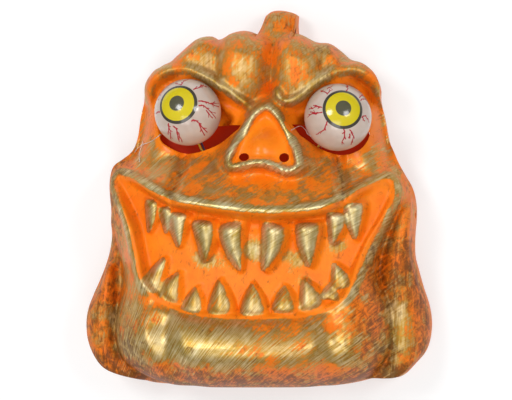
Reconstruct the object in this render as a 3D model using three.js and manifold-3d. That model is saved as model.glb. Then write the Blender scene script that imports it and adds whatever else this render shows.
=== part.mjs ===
// Light-up pumpkin mask: a hollow moulded plastic face with two bulging eyeballs.
// Millimetres, +Z out of the face, +Y up the face. The mask lies on its rim, face up.
import * as THREE from 'three';
import { mergeVertices } from 'three/addons/utils/BufferGeometryUtils.js';
import Module from 'manifold-3d';

const wasm = await Module();
wasm.setup();

// Driving dimensions
const WALL = 1.4;
const BODY_HEIGHT = 46;
const BODY_REACH = 25;
const SIDE_HEIGHT = 34;
const LOBE_HEIGHT = 43;
const EYE_RADIUS = 20;
const EYE_HEIGHT = 55;
const EYE_GAP = 0.3;
const SHELF_HEIGHT = 35;
const LIP_HEIGHT = 88;
const JAW_HEIGHT = 95;
const MOUTH_DEPTH = 17;
const NOSE_TOP = 66;
const NOSE_BOTTOM = 79;
const STEM_HEIGHT = 24;
const TOOTH_FLANK = 2.4;
const FILM_THICK = 0.5;
const FILM_TOP = 32.6;
const LEAD_DIAMETER = 1.2;

// Outlines and feature lines, measured on the face in millimetres
const bodyPoints = [
  [0, 101.5], [-13, 104.5], [-24.5, 101.5], [-29.5, 98.5], [-34, 100.5], [-43.5, 98], [-57, 86],
  [-65, 83], [-71.5, 80], [-76, 73], [-76, 66], [-75.5, 59.5], [-77, 48], [-78.5, 37], [-81.5, 28],
  [-87, 22.5], [-92.5, 18], [-94.5, 10], [-95.5, -4], [-96, -16], [-95, -25], [-96, -35],
  [-98.5, -44.5], [-102, -54], [-106, -64], [-108, -72], [-108.5, -80.5], [-107.5, -88.5],
  [-104.5, -96.5], [-99.5, -104], [-94, -109], [-86.5, -112], [-75, -114.5], [-65, -117],
  [-52, -117.5], [-39, -117.5], [-21.5, -117.5], [1, -116], [25, -114.5], [37.5, -112.5],
  [55, -112], [64.5, -110.5], [74, -108], [85, -107.5], [92, -105], [99, -97.5], [105, -89.5],
  [107.5, -79.5], [107.5, -70], [105.5, -60.5], [102, -51], [98.5, -40], [96, -31], [95.5, -19.5],
  [96, -8], [95.5, 1], [93, 10.5], [88.5, 18], [84, 25.5], [80, 34], [77.5, 39.5], [74.5, 53],
  [71.5, 64], [71, 72], [68, 78.5], [61, 84.5], [53.5, 87.5], [47.5, 92.5], [40, 97.5], [31, 98.5],
  [22.5, 102.5], [14.5, 104],
];
const stemPoints = [
  [-5, 92], [-5, 104], [-4, 109.5], [-3, 115], [1, 118.5], [6, 119.5], [11.5, 119], [16.5, 117.5],
  [19, 114], [17.5, 106], [16.5, 92], [6, 90],
];
const frontPoints = [
  [67, 25], [78, 25.5], [85, 22], [89.5, 15], [90, 6], [86, -4], [80, -16.5], [75.5, -30],
  [74.5, -40.5], [77, -48], [81, -55], [84.5, -64], [85.5, -77], [84, -88], [79.5, -97],
  [72, -104], [57, -109.5], [42, -112], [5, -114], [-33, -115.5], [-50, -114.5], [-64, -110.5],
  [-78, -103], [-84.5, -92], [-86, -81.5], [-85.5, -71], [-83.5, -60], [-82.5, -51], [-84, -40],
  [-88, -27], [-91, -12], [-93.5, 3], [-93.5, 12], [-90.5, 17.5], [-84, 21], [-70, 23], [-69, 36],
  [-66, 54], [0, 64], [62, 56], [66, 40],
];
const mouthPoints = [
  [-85.5, 11.5], [-81.5, 11.5], [-72.5, 8.5], [-61.5, 3.5], [-47.5, -2], [-35, -4], [-20, -6],
  [3, -8], [23.5, -7], [40.5, -4], [53.5, 1.5], [62.5, 7.5], [72.5, 13.5], [78.5, 15], [81.5, 12],
  [82, 5], [78.5, -3], [73, -16], [68, -28], [63, -40], [60.5, -47], [56.5, -55], [48.5, -62.5],
  [37.5, -67], [23.5, -69], [6.5, -70], [-14, -70.5], [-32, -69.5], [-45.5, -66.5], [-55.5, -60.5],
  [-62.5, -53], [-66, -46], [-68, -38], [-70, -29], [-72.5, -19], [-76, -10], [-81, -1], [-86, 6],
];
const nosePoints = [
  [5.5, 56], [11, 53], [16, 47], [20.5, 40], [24.5, 32.5], [27, 26], [27.5, 21], [24.5, 18],
  [19.5, 17], [14, 19], [8, 21], [2, 21], [-4, 20], [-9.5, 18.5], [-13.5, 18.5], [-15, 22.5],
  [-14, 27], [-11.5, 33.5], [-8, 40], [-5, 46], [-1.5, 51.5],
];
const browLeftPoints = [
  [-68, 62], [-67, 68], [-62, 73], [-56, 76.5], [-49, 77.5], [-42.5, 77], [-36, 74.5],
  [-29.5, 71.5], [-23.5, 68], [-17.5, 64.5], [-12.5, 61], [-7.5, 57.5],
];
const browRightPoints = [
  [71, 67], [68.5, 73.5], [64, 77.5], [58, 80], [52, 80], [44.5, 78], [38, 74.5], [33, 70.5],
  [28.5, 66], [22.5, 61.5], [16.5, 59.5], [12.5, 61.5], [11, 65],
];
const socketLeftPoints = [
  [-67, 60], [-60.5, 69], [-51, 72.5], [-39, 71], [-30, 66.5], [-20.5, 60.5], [-13, 55.5],
  [-9.5, 51.5], [-9.5, 45.5], [-13.5, 39.5], [-25.5, 31], [-42.5, 26], [-56, 29], [-64, 35],
  [-68, 47],
];
const socketRightPoints = [
  [20, 53.5], [26.5, 59], [35, 66], [45, 72], [55, 74.5], [62, 71], [67.5, 63], [70, 53],
  [70, 44], [67, 36], [61, 31], [52.5, 28.5], [40.5, 30.5], [28.5, 37.5], [19, 45],
];
const cutLeftPoints = [
  [-10.5, 44.5], [-36, 44], [-56, 42], [-61, 37], [-57, 31.5], [-43, 26.5], [-26, 31.5], [-14, 40],
];
const cutRightPoints = [
  [19.5, 45.5], [42.5, 46], [63, 44.5], [66, 41], [61.5, 33], [52, 29], [40, 31], [28, 38],
];
const eyes = [
  { side: 'left', x: -42.4, y: 51.1 },
  { side: 'right', x: 47.7, y: 50.8 },
];
const nostrils = [
  { x: -5.5, y: 25, wide: 6.2, high: 4.8 },
  { x: 18, y: 25.5, wide: 5.8, high: 5.4 },
];

// Forehead lobes: centre, half width, half height along the face and height of the crest
const foreheadLobes = [
  { x: -11, y: 80, wide: 18.5, high: 24, crest: 62 },
  { x: 21.5, y: 80, wide: 17.5, high: 23.5, crest: 61 },
  { x: -40, y: 80, wide: 16, high: 21, crest: 53 },
  { x: 44, y: 79, wide: 13.5, high: 18.5, crest: 51 },
];

// Grooves pressed into the form: depth, half width and path
const grooves = [
  { depth: 4, half: 2.5, points: [[5.5, 103], [5.5, 88], [5.5, 78], [5, 69], [4.5, 60]] },
  { depth: 6, half: 2.8, points: [[-44.5, 26], [-45, 18], [-47, 9], [-48, -2]] },
  { depth: 6.5, half: 2.8, points: [[48, 29], [49.5, 20], [52, 10], [53.5, 0]] },
  { depth: 5, half: 6, points: [[-49, -76], [-47, -86], [-44, -96], [-38, -106], [-35, -118]] },
  { depth: 5, half: 6, points: [[49, -72], [50, -82], [48, -94], [45, -104], [43, -116]] },
  { depth: 1.2, half: 4, points: [[2, -8], [1.5, -2], [1, 4]] },
];

// Side lobes: half width at the top and further down, and the line of the crest
const sideLobes = [
  { top: 8, low: 17, points: [
    [90, 12], [89, -4], [87, -18], [85.5, -32], [86, -46], [88.5, -60], [90, -74], [89.5, -88],
    [86, -98], [78, -104],
  ] },
  { top: 4, low: 15, points: [
    [-90, -36], [-90, -48], [-91.5, -60], [-93.5, -70], [-94, -80], [-92.5, -90], [-87, -100],
    [-77, -107],
  ] },
];

// Teeth: middle of the root, tip, width, how far each stands out, and its bow towards +X
const teeth = [
  { root: [-60.5, -1], tip: [-61.5, -20], width: 8, stand: 8.5, bend: 0.6 },
  { root: [-52, -5], tip: [-50.5, -20], width: 7.5, stand: 8, bend: 0.4 },
  { root: [-43, -8], tip: [-42.5, -28], width: 11.5, stand: 10, bend: -0.8 },
  { root: [-28.5, -12], tip: [-26, -35.5], width: 14, stand: 12, bend: 1 },
  { root: [-10.5, -12.5], tip: [-5, -40], width: 15.5, stand: 13, bend: -1.6 },
  { root: [3, -18], tip: [1.5, -34], width: 6.5, stand: 3.5, bend: 0 },
  { root: [14.5, -12], tip: [9.5, -40], width: 15, stand: 13, bend: 1.8 },
  { root: [34.5, -11], tip: [35.5, -36.5], width: 15, stand: 12, bend: -0.8 },
  { root: [50, -5], tip: [48.5, -22.5], width: 10.5, stand: 10, bend: 0.8 },
  { root: [60.5, 1], tip: [61.5, -19.5], width: 10.5, stand: 10, bend: -0.6 },
  { root: [-58.5, -57], tip: [-51.5, -37.5], width: 11.5, stand: 9, bend: -1.4 },
  { root: [-47.5, -62], tip: [-42.5, -46], width: 14.5, stand: 10, bend: -1.6 },
  { root: [-33, -67.5], tip: [-31, -54], width: 13, stand: 8, bend: 0 },
  { root: [-16, -68.5], tip: [-17, -49], width: 15, stand: 10, bend: 0.6 },
  { root: [4, -68], tip: [3, -50.5], width: 15.5, stand: 10, bend: 0 },
  { root: [22, -66], tip: [22, -51], width: 15.5, stand: 10, bend: 0 },
  { root: [38, -63.5], tip: [33, -47], width: 15.5, stand: 10, bend: 1 },
  { root: [48.5, -57.5], tip: [49, -48], width: 11.5, stand: 8, bend: 0 },
  { root: [55, -51], tip: [50.5, -37], width: 13, stand: 9, bend: 0.8 },
];

// Small helpers
const clamp = (value, low = 0, high = 1) => Math.min(high, Math.max(low, value));
const mix = (a, b, t) => a + (b - a) * t;

function ease(value) {
  const t = clamp(value);
  return t * t * (3 - 2 * t);
}

function softMax(a, b, width) {
  const t = clamp(0.5 + 0.5 * (a - b) / width);
  return b + (a - b) * t + width * t * (1 - t);
}

const softMin = (a, b, width) => -softMax(-a, -b, width);

// Quarter-round rise from an edge, steep outside it
function round(distance, reach) {
  if (distance <= 0) {
    return 0.12 * distance;
  }
  const left = 1 - Math.min(distance / reach, 1);
  return Math.sqrt(1 - left * left);
}

// A smooth path through the points, kept with its bounds for quick tests
function trace(points, closed = false, steps = 6) {
  const knots = points.map(([x, y]) => new THREE.Vector3(x, y, 0));
  const line = new THREE.CatmullRomCurve3(knots, closed, 'catmullrom', 0.5);
  const spans = (closed ? knots.length : knots.length - 1) * steps;
  const path = line.getPoints(spans).map((p) => [p.x, p.y]);
  const xs = path.map((p) => p[0]);
  const ys = path.map((p) => p[1]);
  const box = [Math.min(...xs), Math.min(...ys), Math.max(...xs), Math.max(...ys)];
  return { path, box };
}

// Distance to a path and how far along it the nearest point lies
function nearest({ path }, x, y) {
  let best = Infinity;
  let along = 0;
  for (let i = 0; i + 1 < path.length; i += 1) {
    const [ax, ay] = path[i];
    const bx = path[i + 1][0] - ax;
    const by = path[i + 1][1] - ay;
    const t = clamp(((x - ax) * bx + (y - ay) * by) / (bx * bx + by * by || 1));
    const dx = x - ax - t * bx;
    const dy = y - ay - t * by;
    const d = dx * dx + dy * dy;
    if (d < best) {
      best = d;
      along = (i + t) / (path.length - 1);
    }
  }
  return { distance: Math.sqrt(best), along };
}

function isInside({ path, box }, x, y) {
  if (x < box[0] || x > box[2] || y < box[1] || y > box[3]) {
    return false;
  }
  let inside = false;
  for (let i = 0; i + 1 < path.length; i += 1) {
    const [ax, ay] = path[i];
    const [bx, by] = path[i + 1];
    if ((ay > y) !== (by > y) && x < (bx - ax) * (y - ay) / (by - ay) + ax) {
      inside = !inside;
    }
  }
  return inside;
}

// Depth inside a closed outline: positive inside, negative outside, cut off beyond the margin
function depthIn(outline, x, y, margin = 40) {
  const { box } = outline;
  if (x < box[0] - margin || x > box[2] + margin || y < box[1] - margin || y > box[3] + margin) {
    return -margin;
  }
  const { distance } = nearest(outline, x, y);
  return isInside(outline, x, y) ? distance : -Math.min(distance, margin);
}

// Distance to an open line, cut off beyond the margin
function distanceTo(line, x, y, margin) {
  const { box } = line;
  if (x < box[0] - margin || x > box[2] + margin || y < box[1] - margin || y > box[3] + margin) {
    return { distance: margin, along: 0 };
  }
  return nearest(line, x, y);
}

const body = trace(bodyPoints, true, 4);
const stem = trace(stemPoints, true, 4);
const front = trace(frontPoints, true, 4);
const mouth = trace(mouthPoints, true, 4);
const nose = trace(nosePoints, true, 4);
const brows = [trace(browLeftPoints), trace(browRightPoints)];
const sockets = [trace(socketLeftPoints, true, 4), trace(socketRightPoints, true, 4)];
const grooveLines = grooves.map((groove) => ({ ...groove, line: trace(groove.points) }));
const lobeLines = sideLobes.map((lobe) => ({ ...lobe, line: trace(lobe.points) }));

// Height of the front mass: cheeks rise to the lip, the jaw stands furthest out
function frontHeight(x, y) {
  const cheek = mix(52, LIP_HEIGHT, ease((34 - y) / 42));
  const jaw = (JAW_HEIGHT - LIP_HEIGHT) * ease((-50 - y) / 38);
  return cheek + jaw - 0.0034 * x * x;
}

// Height of the floor of the mouth
function mouthFloor(x, y) {
  return frontHeight(x, Math.min(y, -12)) - MOUTH_DEPTH - 4 * ease((-50 - y) / 30);
}

// One tooth: a rounded claw over the mouth floor, with a skirt that spreads at its root
function toothHeight(tooth, x, y) {
  const [rx, ry] = tooth.root;
  const ax = tooth.tip[0] - rx;
  const ay = tooth.tip[1] - ry;
  const long = Math.hypot(ax, ay);
  const s = ((x - rx) * ax + (y - ry) * ay) / long;
  const t = clamp(s / long);
  const aside = Math.sign(ay) * ((x - rx) * ay - (y - ry) * ax) / long;
  const q = Math.abs(aside - 4 * tooth.bend * t * (1 - t));
  if (s < -5 || s > long + 3 || q > tooth.width) {
    return 0;
  }
  const root = Math.sqrt(1 - Math.max(0, 1 - t / 0.25) ** 2);
  const half = 0.5 * tooth.width * mix(0.88, 1, root) * (1 - t ** 1.7) ** 0.85;
  const past = s < 0 ? -s : Math.max(s - long, 0);
  const outside = Math.hypot(Math.max(q - half, 0), past);
  const roundOff = Math.min((Math.min(q, half) + outside) / (half + TOOTH_FLANK), 1);
  const crown = (1 - roundOff * roundOff) ** 0.6 * mix(0.3, 1, root);
  return tooth.stand * crown * (1 - 0.45 * t * t);
}

// Height of the outer face above the rim plane
function faceHeight(x, y) {
  const bodyDepth = depthIn(body, x, y);
  const high = ease((y + 10) / 30);
  let z = mix(SIDE_HEIGHT, BODY_HEIGHT, high) * round(bodyDepth, mix(12, BODY_REACH, high));

  for (const lobe of lobeLines) {
    const { distance, along } = distanceTo(lobe.line, x, y, 18);
    const half = mix(lobe.top, lobe.low, ease(along * 1.8));
    if (distance < half) {
      const crest = LOBE_HEIGHT * Math.sqrt(1 - (distance / half) ** 2) * ease(along * 6 + 0.3);
      z = softMax(z, Math.min(crest, 3 * bodyDepth * (1 + bodyDepth)), 5);
    }
  }

  for (const lobe of foreheadLobes) {
    const u = Math.abs(x - lobe.x) / lobe.wide;
    const v = Math.abs(y - lobe.y) / lobe.high;
    const rest = 1 - u ** 2.4 - v ** 2.4;
    if (rest > -0.6) {
      const bulge = 34 + (lobe.crest - 34) * (rest > 0 ? Math.sqrt(rest) : 2 * rest);
      z = softMax(z, Math.min(bulge, z + 18), 2.5);
    }
  }

  const frontDepth = depthIn(front, x, y);
  const top = frontHeight(x, y);
  const chin = ease((-52 - y) / 14);
  const reach = mix(26, 20, ease((y + 40) / 60)) + 4 * chin;
  const mass = 26 + (top - 26) * round(frontDepth, reach);
  const mouthDepth = depthIn(mouth, x, y, 26);
  const roll = 11 * chin * (1 - round(Math.max(-mouthDepth, 0.01), 25));
  z = softMax(z, mass - roll, 4);

  for (const groove of grooveLines) {
    const { distance } = distanceTo(groove.line, x, y, groove.half * 2.5);
    z -= groove.depth * (1 - ease(distance / (groove.half * 2))) * Math.min(1, Math.max(z, 0) / 20);
  }

  // Nose: a raised wedge edged by a rounded bead, sunk a little inside
  const noseDepth = depthIn(nose, x, y, 16);
  if (noseDepth > -16) {
    const noseTop = mix(NOSE_TOP, NOSE_BOTTOM, ease((54 - y) / 34));
    const skirt = noseTop - 11 * (Math.max(-noseDepth, 0) / 4) ** 0.8;
    z = softMax(z, noseDepth > 0 ? noseTop : skirt, 2.5);
    const ridge = Math.exp(-(((x - 4) / 8) ** 2) - ((y - 33) / 9) ** 2);
    z -= (5 - 6 * ridge) * ease((noseDepth - 0.5) / 5);
    z += 3.2 * Math.max(0, 1 - (noseDepth / 4) ** 2);
  }

  // Eye sockets with their shelf
  sockets.forEach((socket, i) => {
    const depth = depthIn(socket, x, y, 6);
    if (depth > -6) {
      const inner = i === 0 ? ease((x + 35) / 20) : ease((38 - x) / 20);
      const run = 8 + 6 * inner;
      const wall = SHELF_HEIGHT + 36 * (1 - ease((depth + 1.5) / run));
      z = softMin(z, wall, 3);
    }
  });

  // Brow beads
  for (const brow of brows) {
    const { distance, along } = distanceTo(brow, x, y, 12);
    if (distance < 12) {
      const half = mix(4.4, 3.4, along);
      const crest = mix(51, 61, ease(along * 1.3)) - 7 * (1 - ease(along * 6));
      const bead = crest - 8 * (distance / half) ** 2;
      z = softMax(z, Math.max(bead, z - 3), 2);
    }
  }

  // Room for the eyeballs
  for (const eye of eyes) {
    const across = (x - eye.x) ** 2 + (y - eye.y) ** 2;
    const room = (EYE_RADIUS + EYE_GAP) ** 2;
    if (across < room) {
      z = Math.min(z, EYE_HEIGHT - Math.sqrt(room - across));
    }
  }

  // Mouth: sunk floor, teeth, and a rounded lip
  if (mouthDepth > -10) {
    const floor = mouthFloor(x, y);
    const corner = ease((Math.abs(x) - 50) / 25) * ease((y + 30) / 30);
    const run = mix(7, 4.5, corner);
    const cavity = floor + 40 * (1 - ease((mouthDepth + 2) / run));
    let relief = 0;
    if (mouthDepth > -3) {
      for (const tooth of teeth) {
        relief = Math.max(relief, toothHeight(tooth, x, y));
      }
    }
    const bottom = ease((-42 - y) / 16);
    const half = 4.2 - 0.6 * ease((Math.abs(x + 3) - 56) / 12);
    const offset = Math.min(Math.abs(mouthDepth + 0.6 * half) / half, 1);
    const bead = (3.5 + 1.5 * corner) * (1 - bottom) * (1 - offset * offset);
    z = softMin(z + bead, cavity, 2.5);
    z = softMax(z, Math.min(floor + relief, z + relief), 1.5);
  }

  // Stem
  const stemDepth = depthIn(stem, x, y, 6);
  if (stemDepth > -6) {
    const flute = 1.2 * Math.cos((x - 6) * 1.1);
    const stemTop = STEM_HEIGHT + 12 * (1 - ease((y - 94) / 24)) + flute;
    z = softMax(z, stemTop * round(stemDepth, 7), 3);
  }
  return z;
}

// The rim seen from a middle point: every ray leaves the outline once
const centre = [-4, -31];
const RAYS = 256;
const RINGS = 96;

function rayLength(outline, angle) {
  const cx = Math.cos(angle);
  const cy = Math.sin(angle);
  let far = 0;
  for (let i = 0; i + 1 < outline.path.length; i += 1) {
    const ax = outline.path[i][0] - centre[0];
    const ay = outline.path[i][1] - centre[1];
    const bx = outline.path[i + 1][0] - centre[0];
    const by = outline.path[i + 1][1] - centre[1];
    const sideA = ax * cy - ay * cx;
    const sideB = bx * cy - by * cx;
    if (sideA * sideB <= 0 && sideA !== sideB) {
      const t = sideA / (sideA - sideB);
      far = Math.max(far, mix(ax, bx, t) * cx + mix(ay, by, t) * cy);
    }
  }
  return far;
}

// The stem reaches past the body, and only the last rings follow it
const bodyRays = [];
const stemRays = [];
for (let i = 0; i < RAYS; i += 1) {
  const angle = i * 2 * Math.PI / RAYS;
  bodyRays.push(rayLength(body, angle));
  stemRays.push(Math.max(rayLength(stem, angle) - bodyRays[i], 0));
}

// Share of the rim moved in by the wall, square to the edge
const rimInset = bodyRays.map((far, i) => {
  const step = 4 * Math.PI / RAYS;
  const whole = (k) => bodyRays[k % RAYS] + stemRays[k % RAYS];
  const slope = (whole(i + 1) - whole(i + RAYS - 1)) / step;
  return WALL * Math.min(Math.hypot(1, slope / whole(i)), 3);
});

function place(i, j, inset) {
  const angle = (i % RAYS) * 2 * Math.PI / RAYS;
  const v = j / RINGS;
  const whole = Math.floor(i);
  const between = (list) => mix(list[whole % RAYS], list[(whole + 1) % RAYS], i - whole);
  const far = between(bodyRays) - inset * between(rimInset);
  const reach = far * (1 - (1 - v) ** 1.8) + between(stemRays) * v ** 8;
  return [centre[0] + reach * Math.cos(angle), centre[1] + reach * Math.sin(angle)];
}

function outerPoint(i, j) {
  const [x, y] = place(i, j, 0);
  return [x, y, j === RINGS ? 0 : Math.max(faceHeight(x, y), 0)];
}

// The inner face lies one wall thickness under the outer face in every direction
function innerPoint(i, j) {
  const [x, y] = place(i, j, 1);
  if (j === RINGS) {
    return [x, y, 0];
  }
  let z = faceHeight(x, y) - WALL;
  for (const [share, spokes] of [[0.6, 6], [1, 12]]) {
    const drop = WALL * Math.sqrt(1 - share * share);
    for (let k = 0; k < spokes; k += 1) {
      const angle = 2 * Math.PI * k / spokes;
      const h = faceHeight(x + share * WALL * Math.cos(angle), y + share * WALL * Math.sin(angle));
      z = Math.min(z, h - drop);
    }
  }
  return [x, y, Math.max(z, 0)];
}

// A fine lattice of rays and rings over the face, with one corner in the middle
function fineFaces() {
  const faces = [];
  const corner = (i, j) => (j === 0 ? 0 : 1 + (j - 1) * RAYS + (i % RAYS));
  for (let i = 0; i < RAYS; i += 1) {
    faces.push([0, corner(i, 1), corner(i + 1, 1)]);
    for (let j = 1; j < RINGS; j += 1) {
      const near = [corner(i, j), corner(i + 1, j)];
      const far = [corner(i, j + 1), corner(i + 1, j + 1)];
      faces.push([near[0], far[0], far[1]], [near[0], far[1], near[1]]);
    }
  }
  return faces;
}

function finePoints(point) {
  const points = [point(0, 0)];
  for (let j = 1; j <= RINGS; j += 1) {
    for (let i = 0; i < RAYS; i += 1) {
      points.push(point(i, j));
    }
  }
  return points;
}

const minus = (a, b) => [a[0] - b[0], a[1] - b[1], a[2] - b[2]];
const cross = (a, b) => [a[1] * b[2] - a[2] * b[1], a[2] * b[0] - a[0] * b[2],
  a[0] * b[1] - a[1] * b[0]];
const dot = (a, b) => a[0] * b[0] + a[1] * b[1] + a[2] * b[2];

// Smallest share of a face that may look straight up
const STEEPEST = 0.01;

// Merge corners into their neighbours, least change of form first, until few faces remain
function thinOut(points, under, fine, wanted) {
  const faces = fine.map((face) => [...face]);
  const around = points.map(() => new Set());
  const spread = points.map(() => new Float64Array(10));
  const isRim = (n) => n > (RINGS - 1) * RAYS;
  const addPlane = (n, normal, level, weight) => {
    const plane = [...normal, -level];
    let k = 0;
    for (let row = 0; row < 4; row += 1) {
      for (let column = row; column < 4; column += 1) {
        spread[n][k] += weight * plane[row] * plane[column] * (row === column ? 1 : 2);
        k += 1;
      }
    }
  };
  const change = (n, p) => {
    const q = spread[n];
    const [x, y, z] = p;
    return q[0] * x * x + q[1] * x * y + q[2] * x * z + q[3] * x + q[4] * y * y + q[5] * y * z
      + q[6] * y + q[7] * z * z + q[8] * z + q[9];
  };
  const square = (list, [a, b, c]) => cross(minus(list[b], list[a]), minus(list[c], list[a]));
  faces.forEach((face, f) => {
    const normal = square(points, face);
    const size = Math.hypot(...normal);
    const unit = normal.map((value) => value / size);
    face.forEach((n, k) => {
      around[n].add(f);
      addPlane(n, unit, dot(unit, points[n]), size / 6);
      const next = face[(k + 1) % 3];
      if (isRim(n) && isRim(next)) {
        const along = minus(points[next], points[n]);
        const long = Math.hypot(...along);
        const side = [along[1] / long, -along[0] / long, 0];
        addPlane(n, side, dot(side, points[n]), long * 3);
        addPlane(next, side, dot(side, points[n]), long * 3);
      }
    });
  });
  const neighbours = (n) => new Set([...around[n]].flatMap((f) => faces[f]).filter((m) => m !== n));
  const allowed = (from, to) => {
    const shared = [...around[from]].filter((f) => faces[f].includes(to));
    const near = neighbours(to);
    const common = [...neighbours(from)].filter((m) => near.has(m));
    if (common.length !== shared.length || (isRim(from) && !isRim(to))
      || (isRim(from) && shared.length !== 1)) {
      return false;
    }
    return [...around[from]].every((f) => {
      if (faces[f].includes(to)) {
        return true;
      }
      const moved = faces[f].map((m) => (m === from ? to : m));
      const before = square(points, faces[f]);
      const after = square(points, moved);
      const inner = square(under, moved);
      const sizes = Math.hypot(...before) * Math.hypot(...after);
      const sides = moved.map((m, k) => Math.hypot(...minus(points[m], points[moved[(k + 1) % 3]])));
      const long = Math.max(...sides);
      return after[2] > STEEPEST * Math.hypot(...after) && inner[2] > 0
        && dot(before, after) > 0.35 * sizes && Math.hypot(...after) > 0.08 * long * long;
    });
  };
  let left = faces.length;
  for (let limit = 1e-3; left > wanted && limit < 1e4; limit *= 1.35) {
    for (let from = 1; from < points.length && left > wanted; from += 1) {
      const options = around[from].size === 0 ? [] : [...neighbours(from)]
        .map((to) => [change(from, points[to]) + change(to, points[to]), to])
        .filter(([cost]) => cost < limit).sort((a, b) => a[0] - b[0]);
      const pick = options.find(([, to]) => allowed(from, to));
      if (pick) {
        const to = pick[1];
        for (const f of around[from]) {
          if (faces[f].includes(to)) {
            faces[f].forEach((m) => m !== from && around[m].delete(f));
            left -= 1;
          } else {
            faces[f] = faces[f].map((m) => (m === from ? to : m));
            around[to].add(f);
          }
        }
        around[from].clear();
        spread[from].forEach((value, k) => {
          spread[to][k] += value;
        });
      }
    }
  }
  return faces.filter((face, f) => around[face[0]].has(f));
}

function toGeometry(corners, faces) {
  const geometry = new THREE.BufferGeometry();
  geometry.setAttribute('position', new THREE.Float32BufferAttribute(corners.flat(), 3));
  geometry.setIndex(faces.flat());
  return geometry;
}

function toSolid(geometry) {
  const clean = geometry.clone();
  clean.deleteAttribute('normal');
  clean.deleteAttribute('uv');
  const merged = mergeVertices(clean, 1e-4);
  return new wasm.Manifold(new wasm.Mesh({
    numProp: 3,
    vertProperties: new Float32Array(merged.attributes.position.array),
    triVerts: new Uint32Array(merged.index.array),
  }));
}

function fromSolid(solid) {
  const mesh = solid.getMesh();
  const geometry = new THREE.BufferGeometry();
  const positions = new Float32Array(mesh.numVert * 3);
  for (let i = 0; i < mesh.numVert; i += 1) {
    for (let k = 0; k < 3; k += 1) {
      positions[i * 3 + k] = mesh.vertProperties[i * mesh.numProp + k];
    }
  }
  geometry.setAttribute('position', new THREE.BufferAttribute(positions, 3));
  geometry.setIndex(new THREE.BufferAttribute(new Uint32Array(mesh.triVerts), 1));
  return geometry;
}

// A straight prism from an outline, between two heights
function prism(outline, bottom, height) {
  const shape = new THREE.Shape(outline.path.slice(0, -1).map(([x, y]) => new THREE.Vector2(x, y)));
  const solid = new THREE.ExtrudeGeometry(shape, { depth: height, bevelEnabled: false });
  return solid.translate(0, 0, bottom);
}

// Shell
const FACES_A_SIDE = 3480;
const outer = finePoints(outerPoint);
const inner = finePoints(innerPoint);
const kept = thinOut(outer, inner, fineFaces(), FACES_A_SIDE);
const faces = [];
for (const [a, b, c] of kept) {
  faces.push([a, b, c], [a + outer.length, c + outer.length, b + outer.length]);
}
const rimStart = 1 + (RINGS - 1) * RAYS;
const rimCorners = [...new Set(kept.flat())].filter((n) => n >= rimStart).sort((a, b) => a - b);
rimCorners.forEach((a, k) => {
  const b = rimCorners[(k + 1) % rimCorners.length];
  faces.push([a, b + outer.length, b], [a, a + outer.length, b + outer.length]);
});
const used = [...new Set(faces.flat())];
const order = new Map(used.map((n, k) => [n, k]));
const corners = used.map((n) => (n < outer.length ? outer[n] : inner[n - outer.length]));
let shell = toSolid(toGeometry(corners, faces.map((face) => face.map((n) => order.get(n)))));
for (const points of [cutLeftPoints, cutRightPoints]) {
  shell = shell.subtract(toSolid(prism(trace(points, true, 3), 26, 40)));
}
for (const hole of nostrils) {
  const cutter = new THREE.CylinderGeometry(0.5, 0.5, 60, 14);
  cutter.rotateX(Math.PI / 2);
  cutter.scale(hole.wide, hole.high, 1);
  cutter.translate(hole.x, hole.y, 66);
  shell = shell.subtract(toSolid(cutter));
}
const STRAP_HOLE = { diameter: 4, y: -6, z: 12 };
for (const side of [-1, 1]) {
  const cutter = new THREE.CylinderGeometry(STRAP_HOLE.diameter / 2, STRAP_HOLE.diameter / 2, 20, 12);
  cutter.rotateZ(Math.PI / 2);
  cutter.translate(side * 92, STRAP_HOLE.y, STRAP_HOLE.z);
  shell = shell.subtract(toSolid(cutter));
}

// Eyeballs: closed spheres with a small flat back that sits on the shelf
function eyeball(eye, radius) {
  const flat = radius * (EYE_HEIGHT - SHELF_HEIGHT - EYE_GAP) / EYE_RADIUS;
  const start = Math.acos(flat / radius);
  const rings = 11;
  const profile = [new THREE.Vector2(0, -flat)];
  for (let k = 0; k <= rings; k += 1) {
    const angle = mix(start, Math.PI, k / rings);
    const x = k === rings ? 0 : radius * Math.sin(angle);
    profile.push(new THREE.Vector2(x, -radius * Math.cos(angle)));
  }
  const ball = new THREE.LatheGeometry(profile, 20);
  ball.rotateX(Math.PI / 2);
  return toSolid(ball.translate(eye.x, eye.y, EYE_HEIGHT));
}
for (const eye of eyes) {
  shell = shell.subtract(eyeball(eye, EYE_RADIUS + EYE_GAP));
}

const group = new THREE.Group();
function addPart(name, geometry, color, roughness, metalness) {
  const material = new THREE.MeshStandardMaterial({ color, roughness, metalness });
  material.name = name;
  const mesh = new THREE.Mesh(geometry, material);
  mesh.name = name;
  group.add(mesh);
}
addPart('mask_shell', fromSolid(shell), '#e8641a', 0.42, 0);

for (const eye of eyes) {
  addPart(`eyeball_${eye.side}`, fromSolid(eyeball(eye, EYE_RADIUS)), '#cfc6c4', 0.2, 0);
}

// Red film: one flat sheet behind both eye openings and the nostrils
const filmPoints = [
  [-64, 46], [-66.5, 37], [-63, 27], [-50, 19], [-20, 17], [25, 17], [57, 21], [66, 28],
  [67, 34], [66.3, 41], [64.5, 46], [2, 48],
];
const filmShape = new THREE.Shape(filmPoints.map(([x, y]) => new THREE.Vector2(x, y)));
const film = new THREE.ExtrudeGeometry(filmShape, { depth: FILM_THICK, bevelEnabled: false });
film.translate(0, 0, FILM_TOP - FILM_THICK);
addPart('eye_film', film, '#8f1a08', 0.15, 0);

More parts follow.
